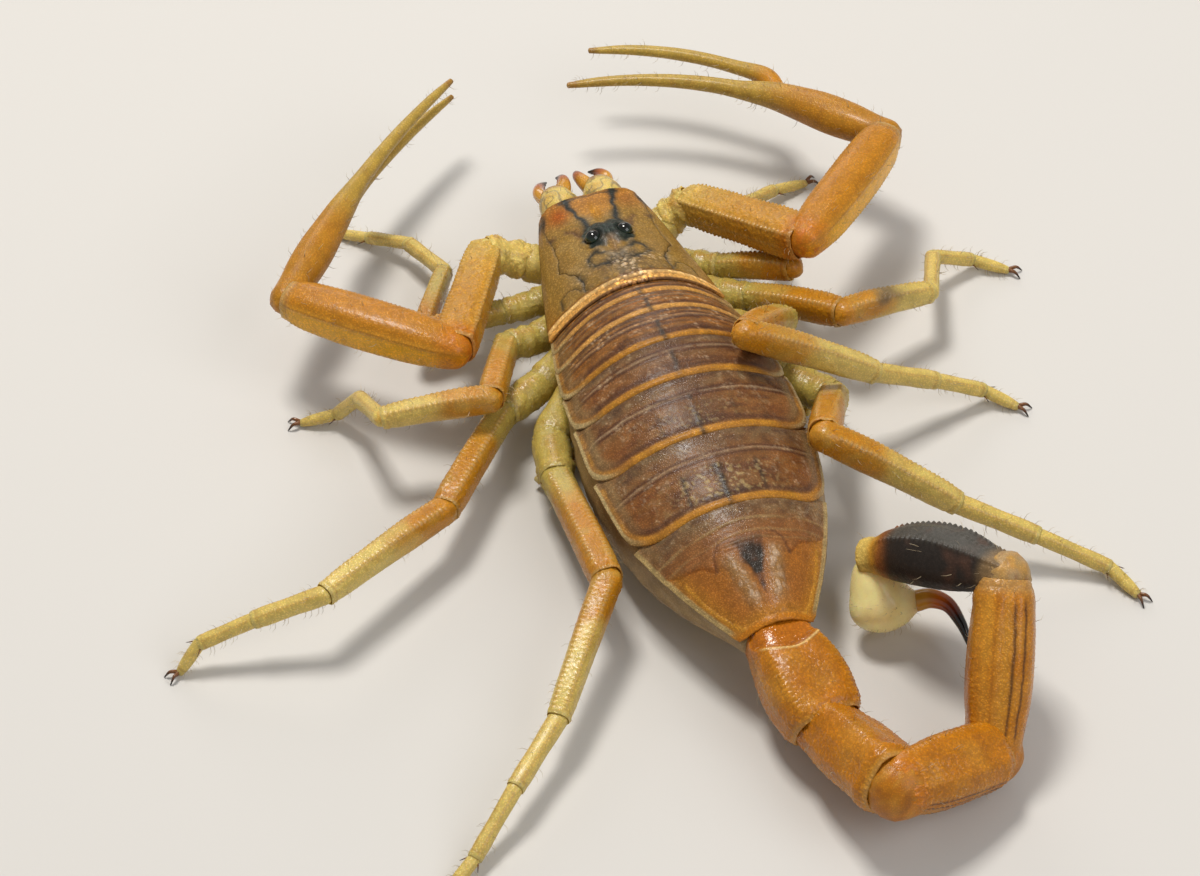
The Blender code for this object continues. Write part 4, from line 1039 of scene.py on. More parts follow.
def armPaint(kind, outer, seed):
    # each link's own ground and patches by place along and angle around it, then what all of them share
    def paint(made):
        p, t, angle, far = made["grid"], made["t"], made["angle"], made["far"]
        left = made["length"] - far
        outerEdge = radians(90 - arms["edge"] * outer)       # the outer lower edge that faces back
        if kind == "trochanter":
            base = "straw"
            layers = [("honey", 0.5 * blotch(p, 0.7, seed, -0.2, 0.6)),
                      ("russet", 0.2 * blotch(p, 0.35, seed + 3, 0.2, 0.7))]
        elif kind == "femur":
            base = (0.52, 0.30, 0.045)
            layers = [((0.47, 0.215, 0.016), rise(t, 0.0, 0.6)), ("flame", 0.7 * rise(-left, -1.5, -0.2)),
                      ("honey", 0.3 * blotch(p, 0.5, seed, 0.0, 0.6)), ("straw", 0.3 * rise(-t, -0.2, 0.0))]
        elif kind == "patella":
            base = (0.46, 0.185, 0.010)
            below = np.cos(angle - radians(90 - 105 * outer))
            layers = [((0.80, 0.40, 0.018), rise(below, 0.58, 0.80)),
                      ("deep", 0.45 * bell(angle - outerEdge, 0, 0.06)),
                      ("flame", 0.6 * rise(-far, -1.3, 0.0)),
                      ("honey", 0.4 * bell(np.cos(angle - outerEdge), 1.0, 0.02)),
                      ("cream", 0.35 * rise(-left, -0.8, -0.2))]
        else:
            base = (0.45, 0.195, 0.012)
            layers = [("olive", rise(t, 0.26, 0.46)), ("moss", 0.25 * rise(t, 0.45, 0.7)),
                      ("russet", 0.55 * rise(t, 0.94, 1.0))]
        paleEnd = 0.35 if kind in ("patella", "femur") else 0.0
        layers += [("cream", 0.55 * made["tooth"]), ("deep", 0.2 * blotch(p, 0.45, seed + 1, 0.1, 0.8)),
                   ("deep", 0.3 * bell(left, 0.42, 0.1)), ("cream", paleEnd * rise(-left, -0.24, -0.12))]
        tint = layered(base, p, *layers) * (1 + 0.25 * made["grain"])[..., None]
        return tint, 0.42 + 0.07 * clouds(p, 0.4, seed + 2) - 0.16 * made["tooth"] - 0.12 * made["grain"]
    return paint


def toothPaint(made):
    return tints["deep"], 0.25


def makeArm(side):
    # three links between the arm's joints, then the hand drawn out into the fixed finger, and the moving
    # finger; a finger bows by 4 s (1 - s) of its bow at share s; gives back the balls of skin for the joints
    outer = -1 if side == "left" else 1
    pose = arms["hand"][side]
    t0, f0, p0, wrist = [np.array(p) for p in arms["joints"][side][1:]]
    knuckle = wrist + headed(pose["heading"], pose["drop"], arms["handLength"])
    seed = arms["seeds"][side]
    edge = arms["edge"]
    parts = {
        "trochanter": dict(
            path=[t0, f0], ends=(0.8, -0.3), grain=(0.05, 0.24), hairs=34, power=2.5, rim=0.03,
            wrinkles=(0.09, 0.5), keels=[(60, 0.1, 10, 0.3, 0.1, 0.9), (120, 0.08, 10, 0.3, 0.1, 0.9)]),
        "femur": dict(
            path=[f0, p0 - unit(p0 - f0) * 0.2], ends=(0.85, -0.4), grain=(0.045, 0.24), hairs=70,
            power=3.4, rim=0.02, step=0.078,
            keels=mirrored((42, 0.15, 5.5, 0.33, 0.0, 1.0), (-42, 0.12, 5.5, 0.33, 0.02, 0.98),
                           (180, 0.05, 5, 0.34, 0.1, 0.9))),
        "patella": dict(
            path=[p0, wrist - unit(wrist - p0) * 0.15], ends=(1.1, -0.4), grain=(0.02, 0.2), hairs=80,
            power=2.8, rim=0.02, step=0.085, bow=limbUp(p0, wrist) * 0.1 + np.array((outer * 0.1, -0.12, 0)),
            keels=[(90 - edge * outer, 0.07, 5, 0, 0.02, 0.98), (90 + 52 * outer, 0.06, 5, 0.3, 0.03, 0.97),
                   (90 - 118 * outer, 0.07, 6, 0.3, 0.03, 0.97), (-60, 0.05, 8, 0, 0.06, 0.94)]),
    }
    for number, (kind, shape) in enumerate(parts.items()):
        own = seed + number * 10
        shape.update(up=limbUp(*shape["path"]), seed=own, profile=arms[kind])
        link = limb(armPaint(kind, outer, own), **shape)
        put("arm_%s_%s" % (side, kind), [link], "arms", ["pincer_%s_%s" % (side, kind)])

    axis = unit(knuckle - wrist)
    level = unit(np.array((axis[1], -axis[0], 0))) * outer
    roll = radians(pose["roll"])
    away = level * np.cos(roll) - np.array((0, 0, np.sin(roll)))       # from the fixed to the moving finger
    up = np.cross(axis, away)
    length = arms["fingerLength"]
    fixed = unit(headed(pose["fingerHeading"], pose["fingerDrop"], length))
    bow = unit(np.array((fixed[1], -fixed[0], 0))) * pose["bow"]
    root = knuckle - away * (0.25 * arms["spacing"])

    def along(start, way, reach, share):
        return start + way * (reach * share) + bow * (4 * share * (1 - share))

    path = [wrist, wrist + (knuckle - wrist) * 0.35, wrist + (knuckle - wrist) * 0.7, knuckle - away * 0.2]
    path += [along(root, fixed, length, s) for s in (0.12, 0.3, 0.5, 0.7, 0.88, 1.0)]
    handKeels = [(where, tall, 7, 0, 0.03, 0.42) for where, tall in ((60, 0.04), (120, 0.04), (180, 0.03))]
    hand = [limb(armPaint("hand", outer, seed + 30), path=path, up=up, ends=(0.95, 0.12), step=0.1,
                 seed=seed + 30, hairs=120, profile=arms["palm"], keels=handKeels)]
    for n, s in enumerate(np.linspace(0.12, 0.95, arms["teeth"])):   # along the fixed finger's inner edge
        at = along(root, fixed, length, s) + away * (0.46 - 0.26 * s)
        big = arms["tooth" if n % 5 else "bigTooth"]
        hand.append(limb(toothPaint, path=[at - away * 0.08, at + away * big], up=fixed, ends=(0.01, 0.02),
                         step=0.2, profile=[(0, big, big), (1, big * 0.4, big * 0.4)]))
    put("arm_%s_hand" % side, hand, "arms", ["pincer_%s_hand" % side])

    def fingerPaint(made):
        p, t = made["grid"], made["t"]
        tint = layered("olive", p, ("apricot", rise(-t, -0.25, -0.05)), ("moss", 0.3 * rise(t, 0.3, 0.7)),
                       ("russet", 0.55 * rise(t, 0.93, 1.0)))
        return tint, 0.4 + 0.05 * clouds(p, 0.4, seed)

    moving = unit(headed(pose["fingerHeading"] + pose["opening"] * outer, pose["fingerDrop"], length))
    start = knuckle + axis * arms["knuckle"] + away * (0.75 * arms["spacing"])
    path = [knuckle + away * 0.35 - axis * 0.3]
    path += [along(start, moving, length - arms["knuckle"], s) for s in (0.0, 0.2, 0.4, 0.6, 0.8, 1.0)]
    finger = limb(fingerPaint, path=path, up=up, ends=(0.35, 0.1), step=0.09, seed=seed + 40, hairs=60,
                  profile=arms["finger"])
    put("arm_%s_finger" % side, [finger], "arms", ["pincer_%s_finger" % side])
    return [(t0, 1.0, "straw"), (f0, 1.05, "straw"), (p0, 1.16, "flame"), (wrist, 1.0, "apricot")]


print("desert scorpion: arms")
for armSide in ("left", "right"):
    skins += makeArm(armSide)

tail = {
    "joints": [(0.1, -26.1, 4.4), (1.0, -31.7, 3.0), (2.9, -38.1, 4.7), (9.4, -35.9, 2.1), (12.5, -29.3, 9.0),
               (6.9, -22.0, 4.7)],
    "widths": [(2.1, 2.45, 2.2), (1.95, 2.2, 2.25), (2.0, 2.25, 2.1), (1.8, 2.1, 1.8), (1.5, 2.0, 1.2)],
    "arch": 0.5,              # of the fifth segment
    "depth": 0.92,
    "upper": [(0.1, 0.2, 1.0), (0.65, 0.25, 0.7), (-0.2, 0.9, 0.55), (-1.0, 0.45, 0.15),
              (-0.35, -0.65, -0.69)],
    # keels: angle from the side, height, breadth in degrees, spacing of the beads, first and last place
    "keels": [(44, 0.08, 6, 0.32, 0.0, 0.98), (10, 0.04, 6, 0, 0.03, 0.96), (-24, 0.05, 6, 0, 0.03, 0.96),
              (-50, 0.05, 6, 0.32, 0.03, 0.96), (-76, 0.04, 6, 0.32, 0.03, 0.96)],
    "furrow": (90, -0.18, 28, 0, 0.16, 0.86),
    "darkKeels": [(-28, 0.16, 4.5, 0.36, 0.0, 0.84), (-62, 0.05, 6, 0.36, 0.1, 0.6)],
    "darkMiddle": [(-90, 0.2, 5, 0.36, 0.02, 0.84), (90, -0.18, 26, 0, 0.05, 0.9)],
    "lines": {3: [(-58, 2.2), (-74, 2.2)], 4: [(-16, 2.4), (-33, 2.2)]},       # dark lines: angle, breadth
    "skinSizes": [1.5, 1.98, 2.02, 1.82, 1.5],
    "skinColours": ["rust", "amber", "amber", "amber", (0.40, 0.245, 0.09)],
    "bulb": {"centre": (7.1, -24.12, 2.42), "axis": (1, -0.15, 0.07), "half": (1.95, 1.46), "neck": 1.72,
             "nose": 0.45},
    "sting": [(9.0, -24.45, 2.6), (9.75, -24.6, 2.7), (10.5, -25.2, 2.68), (10.95, -26.6, 2.3),
              (10.95, -28.4, 1.7)],
    "stingRadii": [(0, 0.66, 0.62), (0.2, 0.58, 0.55), (0.45, 0.42, 0.4), (0.75, 0.26, 0.25),
                   (1, 0.06, 0.06)],
}


def hollowReach(made):        # distance behind a crescent that is deepest in the middle of the upper face
    return made["far"] - 1.25 * (1 - 0.9 * np.cos(made["angle"]) ** 2)


def hollow(made):             # 1 inside the crescent at the front of the upper face
    return rise(-hollowReach(made), -0.04, 0.2) * rise(np.sin(made["angle"]), 0.15, 0.45)


def hollowRim(made):          # 1 on its edge
    return bell(hollowReach(made), 0.08, 0.06) * rise(np.sin(made["angle"]), 0.45, 0.75)


def tailPaint(number):
    # amber, or dark on the fifth segment, with patches of noise and marks by place along and angle around it
    def paint(made):
        p, t, angle, far = made["grid"], made["t"], made["angle"], made["far"]
        seed = 600 + number * 13
        left = made["length"] - far
        degrees = np.degrees(angle)
        if number == 5:
            pale = rise(t + 0.02 * clouds(p, 0.5, seed + 5), 0.80, 0.88)
            tint = layered(
                "charcoal", p,
                ("ash", rise(-np.abs(degrees - 270), -62, -57)),
                ("plum", 0.45 * blotch(p, 0.8, seed, 0.1, 0.8)),
                ("ash", 0.8 * made["tooth"]), ("russet", bell(t, 0.81, 0.06)), ("honey", pale),
                ("straw", 0.8 * rise(t, 0.87, 0.95)), ("taupe", 0.8 * rise(-t, -0.13, -0.02)),
            )
            gloss = 0.5 + 0.05 * clouds(p, 0.4, seed + 2) - 0.16 * made["tooth"]
            return tint * (1 + 0.3 * made["grain"])[..., None], gloss
        top = rise(np.sin(angle), 0.55, 0.9)
        layers = [
            ("honey", 0.35 * blotch(p, 1.5, seed, -0.2, 0.6)),
            ("deep", 0.25 * blotch(p, 0.9, seed + 1, 0.1, 0.8)),
            ("deep", 0.25 * top * bell(t, 0.5, 0.35)), ("honey", 0.45 * rise(-left, -0.5, -0.1)),
            ("flame", 0.5 * rise(-t, -0.12, 0.0)), ("deep", 0.35 * bell(left, 0.32, 0.08)),
            ("honey", 0.3 * made["tooth"]), ("cream", 0.25 * rise(-left, -0.14, -0.05)),
        ]
        gloss = 0.36 + 0.06 * clouds(p, 0.4, seed + 2) - 0.14 * made["tooth"] - 0.12 * made["grain"]
        for where, wide in mirrored(*tail["lines"].get(number, [])):       # dark lines along the lower keels
            off = (degrees - where + 180) % 360 - 180
            shown = rise(t, 0.05, 0.14) * rise(-t, -0.93, -0.84)
            line = bell(off + 1.5 * clouds(p, 0.6, seed + 3), 0, wide)
            layers.append(((0.045, 0.012, 0.006), 0.9 * line * shown))
        if number == 1:       # the shining hollow at its front
            # the butter on the hollow's rim is a painted highlight; the red inside is the hollow's own colour
            layers += [((0.42, 0.125, 0.007), 0.8 * hollow(made)),
                       ("deep", 0.5 * hollow(made) * rise(far, 0.5, 1.1)), ("butter", 0.5 * hollowRim(made))]
            gloss = gloss - 0.26 * hollow(made) - 0.16 * hollowRim(made)
        if number == 4:
            paleBand = bell(np.sin(angle), 0.45, 0.14) + bell(np.sin(angle), -0.08, 0.14)
            layers += [("honey", 0.4 * np.clip(paleBand, 0, 1)),
                       ("deep", 0.35 * bell(np.sin(angle), 0.24, 0.035)),
                       ((0.42, 0.22, 0.06), 0.8 * rise(-left, -0.95, -0.35))]
        return layered("amber", p, *layers) * (1 + 0.3 * made["grain"])[..., None], gloss
    return paint


def makeBulb():
    # distance from a centre by direction: an egg along the bulb's axis, drawn out by bells of the angle
    # towards the fifth segment and the sting
    bulb = tail["bulb"]
    centre, axis = np.array(bulb["centre"]), unit(np.array(bulb["axis"]))
    neck = unit(np.array(tail["joints"][5]) - centre)
    side = unit(np.cross(axis, neck))
    way, lean = ball(84, 132, 0.03)
    way = way @ np.array((side, np.cross(side, axis), axis))
    long, wide = bulb["half"]
    egg = 1 / np.sqrt((np.cos(lean) / long) ** 2 + (np.sin(lean) / wide) ** 2)
    toNeck = np.arccos(np.clip(way @ neck, -1, 1))
    reach = egg + bulb["neck"] * bell(toNeck, 0, 0.7) + bulb["nose"] * bell(lean, 0, 0.3)
    smooth = centre + way * reach[..., None]
    reach = reach + 0.05 * clouds(smooth, 0.5, 707) * bell(toNeck, 0, 0.6) + 0.012 * clouds(smooth, 0.4, 709)
    grid = centre + way * reach[..., None]
    tint = layered("butter", grid, ((0.62, 0.30, 0.03), 0.9 * rise(-lean, -0.55, -0.2)),
                   ("honey", 0.35 * rise(-lean, -0.9, -0.45)),
                   ("cream", 0.3 * blotch(grid, 1.0, 701, 0, 0.8)), ("straw", 0.5 * bell(toNeck, 0, 0.4)))
    hairRoots.append(({"grid": grid, "spoke": way}, 90, 0.5))
    skin = outward(patch(grid, tint, 0.32 + 0.04 * clouds(grid, 0.4, 702)))
    put("venom_bulb_skin", [skin], "bulb", ["tail_bulb"])


def stingPaint(made):         # honey at the root, through red to black at the tip
    t = made["t"]
    return layered("honey", made["grid"], ((0.45, 0.10, 0.006), rise(t, 0.05, 0.3)),
                   ("blood", rise(t, 0.25, 0.45)), ("black", rise(t, 0.4, 0.62))), 0.16


def makeTail():
    # five swollen links, each from the width before to the width after with its fullest place between, then
    # the bulb and the sting; gives back the balls of skin for the joints
    joints = [np.array(p) for p in tail["joints"]]
    deep = tail["depth"]
    for i, (start, mid, end) in enumerate(tail["widths"]):
        number = i + 1
        a, b = joints[i], joints[i + 1]
        b = b - unit(b - a) * 0.12
        after = tail["widths"][i + 1][0] if number < 5 else end
        keels = mirrored(*tail["keels"]) + [tail["furrow"]]
        if number == 4:                                      # its beaded keels are lower
            keels = [(k[0], k[1] * 0.4, *k[2:]) if k[3] else k for k in keels]
        if number == 5:
            keels = mirrored(*tail["darkKeels"]) + tail["darkMiddle"]
        fromStart, toEnd = (start + mid) / 2 * 1.02, (mid + end) / 2
        profile = [
            (0, start * 0.96, start * deep * 0.94), (0.1, start, start * deep * 0.98),
            (0.3, fromStart, mid * deep * 0.98), (0.6, mid * 1.02, mid * deep),
            (0.82, toEnd * 1.02, toEnd * deep), (0.92, end * 1.03, end * deep * 1.02),
            (1, after * 1.02, after * deep),
        ]
        shape = dict(path=[a, b], up=tail["upper"][i], ends=(start * 0.8, -0.5), profile=profile,
                     keels=keels, power=2.9, rim=0.02, step=0.08, seed=600 + number,
                     lean=0.07 if number < 4 else 0.0, grain=(0.04 if number < 4 else 0.02, 0.22),
                     roughEnds=(1.6 if number > 1 else -1.0, 1.2))
        if number == 5:
            shape.update(ends=(start * 0.8, 0.3), power=2.3, step=0.085,
                         bow=-tail["arch"] * unit(np.array(tail["upper"][4])))
        made = sweep(shape)
        if number == 1:
            dip = 0.04 * hollowRim(made) - 0.17 * hollow(made)
            made["grid"] = made["grid"] + made["spoke"] * dip[..., None]
        hairRoots.append((made, 44, 0.55))
        tint, gloss = tailPaint(number)(made)
        look, slot = ("dark", "dark_tail_segment") if number == 5 else ("tail", "tail")
        segment = outward(patch(made["grid"], tint, gloss))
        put("tail_shell_%d" % number, [segment], look, ["tail_%d" % number])
    makeBulb()
    sting = limb(stingPaint, path=tail["sting"], ends=(0.2, 0.05), step=0.06, power=2.0, seed=710,
                 profile=tail["stingRadii"])
    put("sting_horn", [sting], "horn", ["tail_sting"])
    return list(zip(joints[:5], tail["skinSizes"], tail["skinColours"]))


print("desert scorpion: tail")
tailSkins = makeTail()

# front underside: leg bases, jaws, combs

base = {
    # y, half width, height of the lower face
    "rows": [(9.6, 2.3, 2.6), (7.0, 3.3, 2.2), (4.0, 4.1, 1.7), (1.0, 4.6, 1.6), (-2.0, 3.6, 1.7),
             (-3.6, 1.6, 2.1)],
    "front": 9.9, "rear": -3.6, "roof": 4.6, "below": 0.25, "squareness": 0.8,
    "root": [(0, 0.85, 0.8), (0.5, 1.05, 1.0), (0.9, 1.12, 1.08), (1, 1.0, 0.98)],           # of an arm
    "hip": [(0, 0.8, 0.75), (0.4, 0.95, 0.95), (0.8, 1.0, 1.02), (0.92, 1.06, 1.08), (1, 0.95, 0.95)],
}


def makeBase():
    # a block of skin under the carapace, squared ellipses by powers of the cosine and sine, with a short
    # swollen sweep from it to each hip and arm
    table = [(-y, half, low) for y, half, low in base["rows"]]
    y = np.linspace(base["front"], base["rear"], 90)[:, None]
    turn = (np.arange(72) * 2 * pi / 72)[None]
    half, low = np.moveaxis(through(-y, table), -1, 0)
    edge = np.where(y > 0, backAt(np.maximum(y, 0))[2], base["roof"])
    roof = np.minimum(edge - base["below"], base["roof"])
    across, upwards = [np.sign(f(turn)) * np.abs(f(turn)) ** base["squareness"] for f in (np.cos, np.sin)]
    x = half * across
    z = (roof + low) / 2 + (roof - low) / 2 * upwards
    grid = np.stack([x, np.broadcast_to(y, x.shape), z], -1)
    grid = grid + 0.05 * clouds(grid, 0.7, 801)[..., None] * (1, 0, 1)
    tint = layered("skin", grid, ("straw", blotch(grid, 1.2, 803, -0.3, 0.6)))
    patches = [outward(patch(grid, tint, 0.45))]
    for side in ("left", "right"):
        for number, radii in legs["radii"].items():
            r = radii[0]
            patches.append(limb(
                legPaint("belly", "moss", 820 + number), path=legJoints("%s_%d" % (side, number))[:2],
                ends=(0.3, r * 0.65), power=2.5, seed=810 + number, grain=(0.03, 0.22), hairs=16,
                profile=[(t, r * w, r * h) for t, w, h in base["hip"]],
                keels=[(-90, 0.05, 14, 0.22, 0.1, 0.9)]))
        patches.append(limb(
            legPaint("belly", "straw", 831), path=arms["joints"][side][:2], ends=(0.3, 0.7), power=2.4,
            seed=830, grain=(0.03, 0.22), hairs=16, profile=base["root"]))
    put("leg_bases", patches, "legs", ["coxae"])


jaws = {
    # on the right side; each fades from its root to its tip
    "palm": dict(path=[(1.35, 9.6, 4.05), (1.35, 10.6, 4.0), (1.42, 11.8, 3.8), (1.4, 12.7, 3.65)],
                 profile=[(0, 1.0, 1.0), (0.25, 1.2, 1.12), (0.55, 1.26, 1.15), (0.85, 1.12, 1.0),
                          (1, 0.95, 0.85)]),
    "fixed": dict(path=[(0.85, 12.7, 3.85), (0.55, 13.5, 3.85), (0.5, 14.2, 3.6), (0.75, 14.6, 3.35)],
                  profile=[(0, 0.52, 0.5), (0.4, 0.4, 0.4), (0.8, 0.24, 0.24), (1, 0.08, 0.08)]),
    "moving": dict(path=[(2.0, 12.8, 3.5), (2.2, 13.6, 3.4), (1.95, 14.3, 3.2), (1.4, 14.75, 3.0)],
                   profile=[(0, 0.46, 0.46), (0.4, 0.38, 0.38), (0.8, 0.22, 0.22), (1, 0.07, 0.07)]),
}


def palmPaint(made):          # straw with a dark net on its upper face, where the noise is near zero
    p, up = made["grid"], np.sin(made["angle"])
    net = rise(-np.abs(clouds(p, 0.55, 851)), -0.16, -0.04)
    tint = layered("straw", p, ("honey", 0.4 * blotch(p, 0.9, 852, -0.3, 0.5)),
                   ("slate", 0.65 * net * rise(up, -0.1, 0.5)), ("russet", 0.6 * rise(made["t"], 0.85, 1.0)))
    return tint, 0.36


def fangPaint(made):          # honey at the root, through rust to black at the tip
    t = made["t"]
    return layered("honey", made["grid"], ("rust", rise(t, 0.2, 0.6)), ("black", rise(t, 0.5, 0.95))), 0.2


def makeJaws():
    # a stout palm each side, an inner fixed finger with teeth and an outer finger that closes on it: sweeps
    # along curves through the points above, mirrored
    for side, sign in (("left", -1), ("right", 1)):
        def jaw(kind, caps, paint, **more):
            path = [np.array(p) * (sign, 1, 1) for p in jaws[kind]["path"]]
            return limb(paint, path=path, ends=caps, profile=jaws[kind]["profile"], **more)

        inward, outwards = (0, 180) if sign > 0 else (180, 0)
        palm = jaw("palm", (0.3, 0.55), palmPaint, power=2.3, hairs=60, hairLength=0.4, seed=850,
                   wrinkles=(0.03, 0.5))
        fixed = jaw("fixed", (0.3, 0.05), fangPaint, step=0.06, keels=[(inward, 0.1, 16, 0.34, 0.1, 0.9)])
        moving = jaw("moving", (0.3, 0.05), fangPaint, step=0.06, keels=[(outwards, 0.1, 16, 0.34, 0.1, 0.9)])
        put("jaw_" + side, [palm, fixed], "legs", ["chelicera_" + side])
        put("jaw_finger_" + side, [moving], "horn", ["chelicera_finger_" + side])


combs = {
    "root": (1.3, -2.6, 0.72), "length": 8.6, "heading": 118, "teeth": 18, "shaft": 0.9, "tooth": 0.85,
    "taper": 0.55, "shaftRadii": [(0, 0.42, 0.27), (0.5, 0.34, 0.25), (1, 0.2, 0.2)],
    # shares of the teeth's spacing, and heights
    "knobRadii": [(0, 0.42, 0.2), (1, 0.46, 0.24)],
    "toothRadii": [(0, 0.28, 0.16), (0.5, 0.4, 0.22), (1, 0.34, 0.2)],
}


def combPaint(made):          # pale, with patches of straw
    p = made["grid"]
    return layered("belly", p, ("straw", blotch(p, 0.7, 861, -0.2, 0.6))), 0.36


def makeCombs():
    # a shaft each side with a row of knobs and teeth behind it, a length over their number apart and shorter
    # towards its tip
    long, shaft = combs["length"], combs["shaft"]
    pitch = long / combs["teeth"]
    for side, sign in (("left", -1), ("right", 1)):
        turn = radians(combs["heading"] - 90)
        along = np.array((np.cos(turn) * sign, -np.sin(turn), 0))
        back = np.array((-np.sin(turn) * sign, -np.cos(turn), 0))
        root = np.array(combs["root"]) * (sign, 1, 1)
        path = [root + along * far + back * behind
                for far, behind in ((0, 0.35), (long * 0.5, 0.3), (long - 0.3, 0.2))]
        patches = [limb(combPaint, path=path, ends=(0.2, 0.2), step=0.09, hairs=24, hairLength=0.3, seed=860,
                        profile=combs["shaftRadii"])]
        for i in range(combs["teeth"]):
            taper = 1 - combs["taper"] * i / combs["teeth"]
            at = root + along * (pitch * (i + 0.45)) + back * (shaft * taper * 0.62)
            patches.append(limb(
                combPaint, path=[at - back * 0.25, at + back * 0.1], ends=(0.05, 0.08), step=0.07,
                profile=[(t, pitch * w, h) for t, w, h in combs["knobRadii"]]))
            end = at + back * (combs["tooth"] * taper + shaft * taper * 0.3)
            patches.append(limb(
                combPaint, path=[at + back * 0.12, at + back * (0.5 * taper), end - back * 0.12],
                ends=(0.06, 0.12), step=0.06, profile=[(t, pitch * w, h) for t, w, h in combs["toothRadii"]]))
        put("comb_" + side, patches, "legs", ["pecten_" + side])


print("desert scorpion: underside")
makeBase()
makeJaws()
makeCombs()


def makeSkins():
    # soft balls of skin where the links meet: radius times direction, wrinkled by how far noise is from zero,
    # and darker in the sunk folds as painted shade
    patches = []
    for number, (spot, radius, colour) in enumerate(skins + tailSkins):
        way = ball(18, 28, 0.1)[0]
        grid = spot + way * radius * 0.97
        fold = np.abs(clouds(grid, 0.28, 900 + number))
        grid = grid + way * (0.12 * min(radius, 1.0) * (fold - 0.3))[..., None]
        # deep in the sunk folds is painted shade
        tint = layered(colour, grid, ("honey", 0.5 * blotch(grid, 0.4, 930, -0.2, 0.6)),
                       ("deep", 0.5 * rise(-fold, -0.12, 0.0)))
        patches.append(outward(patch(grid, tint, 0.42)))
    put("joint_skins", patches, "skin", [])


makeSkins()

hairs = {
    "colour": (0.62, 0.50, 0.32), "gloss": 0.35, "seed": 7,
    "thickness": 0.017,       # at the root of a hair half a millimetre long
    "rings": (1.0, 0.65, 0.12),                              # shares of the thickness: root, middle, tip
    "sunk": 0.04, "lowest": 0.05,
    "margin": 8,              # rings left bare at each end of a limb
    "uvSize": 0.003, "tileEdge": 0.05,
}


def makeHairs():
    # each hair is a three-sided cone bent over towards the limb's tip, rooted on a random spot of its limb;
    # its direction is the limb's normal plus a random share of the way along it. Its UVs are one small patch
    # at the place of its root, with one tile of the map for each limb
    rng = np.random.default_rng(hairs["seed"])
    tiles = int(np.ceil(np.sqrt(len(hairRoots))))
    third = 2 * pi / 3
    cones, spots = [], []
    for index, (made, number, length) in enumerate(hairRoots):
        if not number:
            continue
        grid = made["grid"]
        rows, columns = grid.shape[:2]
        i = rng.integers(hairs["margin"], rows - hairs["margin"], number)
        j = rng.integers(0, columns, number)
        root, normal = grid[i, j], made["spoke"][i, j]
        along = unit(grid[np.minimum(i + 2, rows - 1), j] - grid[i - 2, j])
        tall = length * rng.uniform(0.45, 1.25, number)[:, None]
        lean = rng.uniform(0.5, 1.2, number)[:, None]
        way = unit(normal + along * lean + rng.normal(0, 0.16, (number, 3)))
        middle = root + unit(normal * 1.2 + way) * tall * 0.5
        tip = middle + unit(way + along * 0.35) * tall * 0.5
        for point in (middle, tip):
            point[:, 2] = np.maximum(point[:, 2], hairs["lowest"])
        side = unit(np.cross(way, along + 0.01))
        other = unit(np.cross(way, side))
        thick = hairs["thickness"] * np.clip(tall / 0.5, 0.7, 1.4)
        cones.append(np.stack([
            centre + side * thick * size * np.cos(a) + other * thick * size * np.sin(a)
            for centre, size in zip((root - normal * hairs["sunk"], middle, tip), hairs["rings"])
            for a in (0, third, 2 * third)], axis=1))
        edge = hairs["tileEdge"]
        u = (index % tiles + edge + (1 - 2 * edge) * i / rows) / tiles
        v = (index // tiles + edge + (1 - 2 * edge) * j / columns) / tiles
        spots.append(np.stack([u, v], -1))
    cones, spots = np.concatenate(cones), np.concatenate(spots)[:, None, None]
    total = len(cones)
    first = (np.arange(total) * 9)[:, None]                  # nine points to a hair, three to a ring
    quads = np.stack([first + [[ring + a, ring + b, ring + 3 + b, ring + 3 + a]]
                      for ring in (0, 3) for a, b in ((0, 1), (1, 2), (2, 0))], axis=1)
    tris = np.concatenate([first + [[6, 7, 8]], first + [[2, 1, 0]]], axis=1)
    square = np.array([(0, 0), (1, 0), (1, 1), (0, 1)])
    size = hairs["uvSize"]
    tone = rng.uniform(0.5, 1.1, total)[:, None, None]
    coat = {
        "points": cones.reshape(-1, 3), "gloss": np.full(total * 9, hairs["gloss"]),
        "tint": np.broadcast_to(np.array(hairs["colour"]) * tone, (total, 9, 3)).reshape(-1, 3),
        "quads": quads.reshape(-1, 4), "tris": tris.reshape(-1, 3),
        "quadUv": np.broadcast_to(spots + (square - 0.5) * size, (total, 6, 4, 2)).reshape(-1, 4, 2),
        "triUv": np.broadcast_to(spots + square[[0, 1, 3]] * size, (total, 2, 3, 2)).reshape(-1, 3, 2),
    }
    piece = build("fine_hairs", [coat], finishes["hair"], uvName="OFBake")
    print("desert scorpion: %d hairs" % total)


makeHairs()

# stage

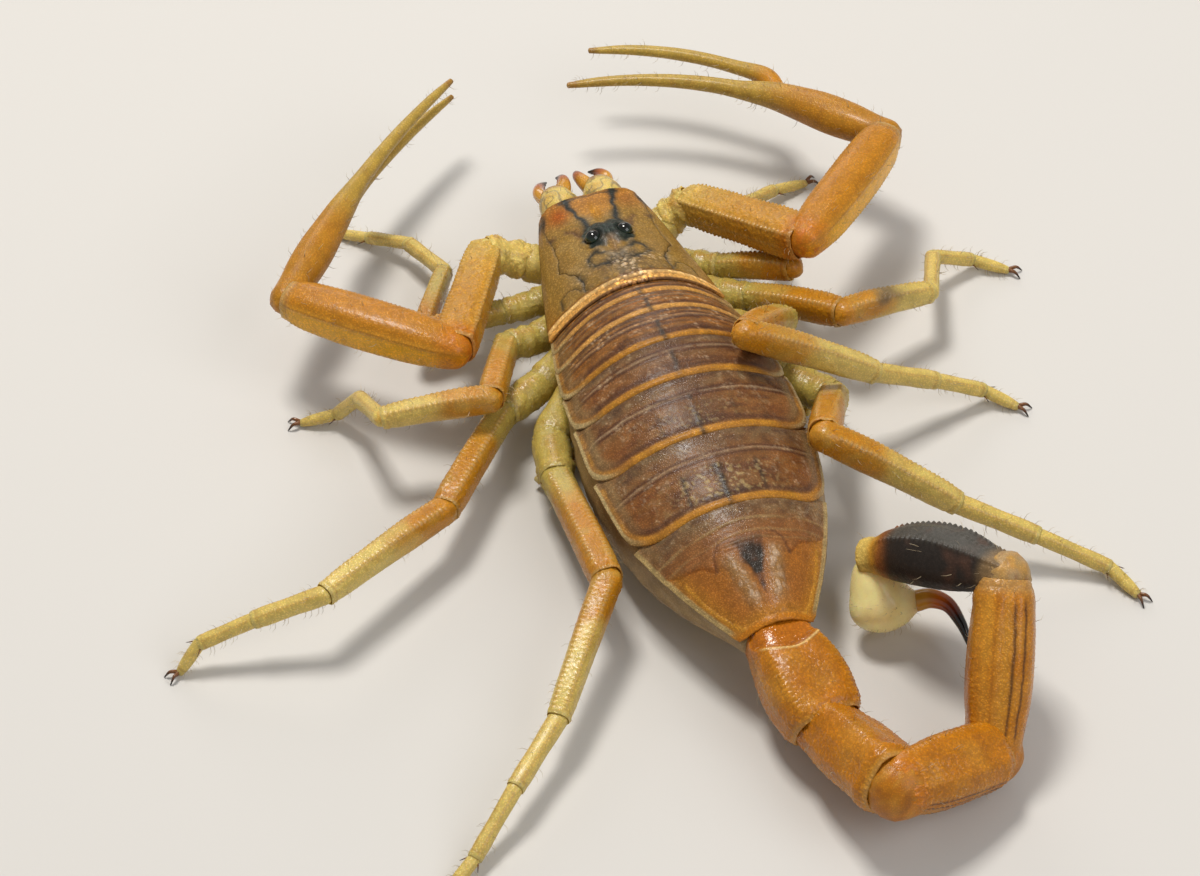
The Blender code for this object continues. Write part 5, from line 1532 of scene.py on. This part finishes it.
stage = {
    "floor": {"size": 1.6, "colour": (0.62, 0.60, 0.57, 1), "roughness": 0.8},
    "world": {"Color": (0.98, 0.96, 0.93, 1), "Strength": 0.34},
    "lamps": {
        "key": dict(at=(-0.02, 0.13, 0.355), size=0.09, watts=1.08, colour=(1, 0.97, 0.92)),
        "fill": dict(at=(0.17, -0.21, 0.25), size=0.24, watts=0.46, colour=(0.97, 0.98, 1)),
        "back": dict(at=(0.05, 0.36, 0.18), size=0.16, watts=0.24, colour=(1, 0.98, 0.95)),
    },
    # in the body's frame, in millimetres; behind, above and left of the animal, held a little askew
    "camera": {"at": (-50.634, -181.313, 209.585), "right": (0.95283, -0.30062, -0.04178),
               "up": (0.25293, 0.71038, 0.65680), "lens": 137.6, "sensor": 36, "near": 0.01},
}


def aim(name, data, right, up, back, at):        # an object whose own axes are these three, at a place
    holder = bpy.data.objects.new(name, data)
    holder.matrix_world = Matrix([(right[k], up[k], back[k], at[k]) for k in range(3)] + [(0, 0, 0, 1)])
    bpy.context.scene.collection.objects.link(holder)
    return holder


def makeStage():
    # a pale floor, a soft sky and three area lamps that look at the origin: back is the lamp's direction,
    # right is the vertical crossed with it, and up is back crossed with right
    bpy.ops.mesh.primitive_plane_add(size=stage["floor"]["size"])
    floor = bpy.context.object
    floor.name = "floor"
    material = bpy.data.materials.new("paleFloor")
    material.use_nodes = True
    shader = material.node_tree.nodes["Principled BSDF"]
    shader.inputs["Base Color"].default_value = stage["floor"]["colour"]
    shader.inputs["Roughness"].default_value = stage["floor"]["roughness"]
    floor.data.materials.append(material)
    for name, lamp in stage["lamps"].items():
        light = bpy.data.lights.new(name, "AREA")
        light.size, light.energy, light.color = lamp["size"], lamp["watts"], lamp["colour"]
        back = unit(np.array(lamp["at"]))
        right = unit(np.cross((0, 0, 1), back))
        aim(name, light, right, np.cross(back, right), back, lamp["at"])
    world = bpy.data.worlds.new("studio")
    world.use_nodes = True
    for key, value in stage["world"].items():
        world.node_tree.nodes["Background"].inputs[key].default_value = value
    bpy.context.scene.world = world
    bpy.context.scene.view_settings.view_transform = "Standard"


def makeCamera():
    # looks down at the animal, against back, which is right crossed with up
    view = stage["camera"]
    data = bpy.data.cameras.new("camera")
    data.lens, data.sensor_width, data.clip_start = view["lens"], view["sensor"], view["near"]
    right = unit(np.array(view["right"]))
    back = unit(np.cross(right, view["up"]))
    at = (np.array(view["at"]) + bodyOrigin) * mm
    bpy.context.scene.camera = aim("camera", data, right, np.cross(back, right), back, at)


makeStage()
makeCamera()

print("desert scorpion: done")
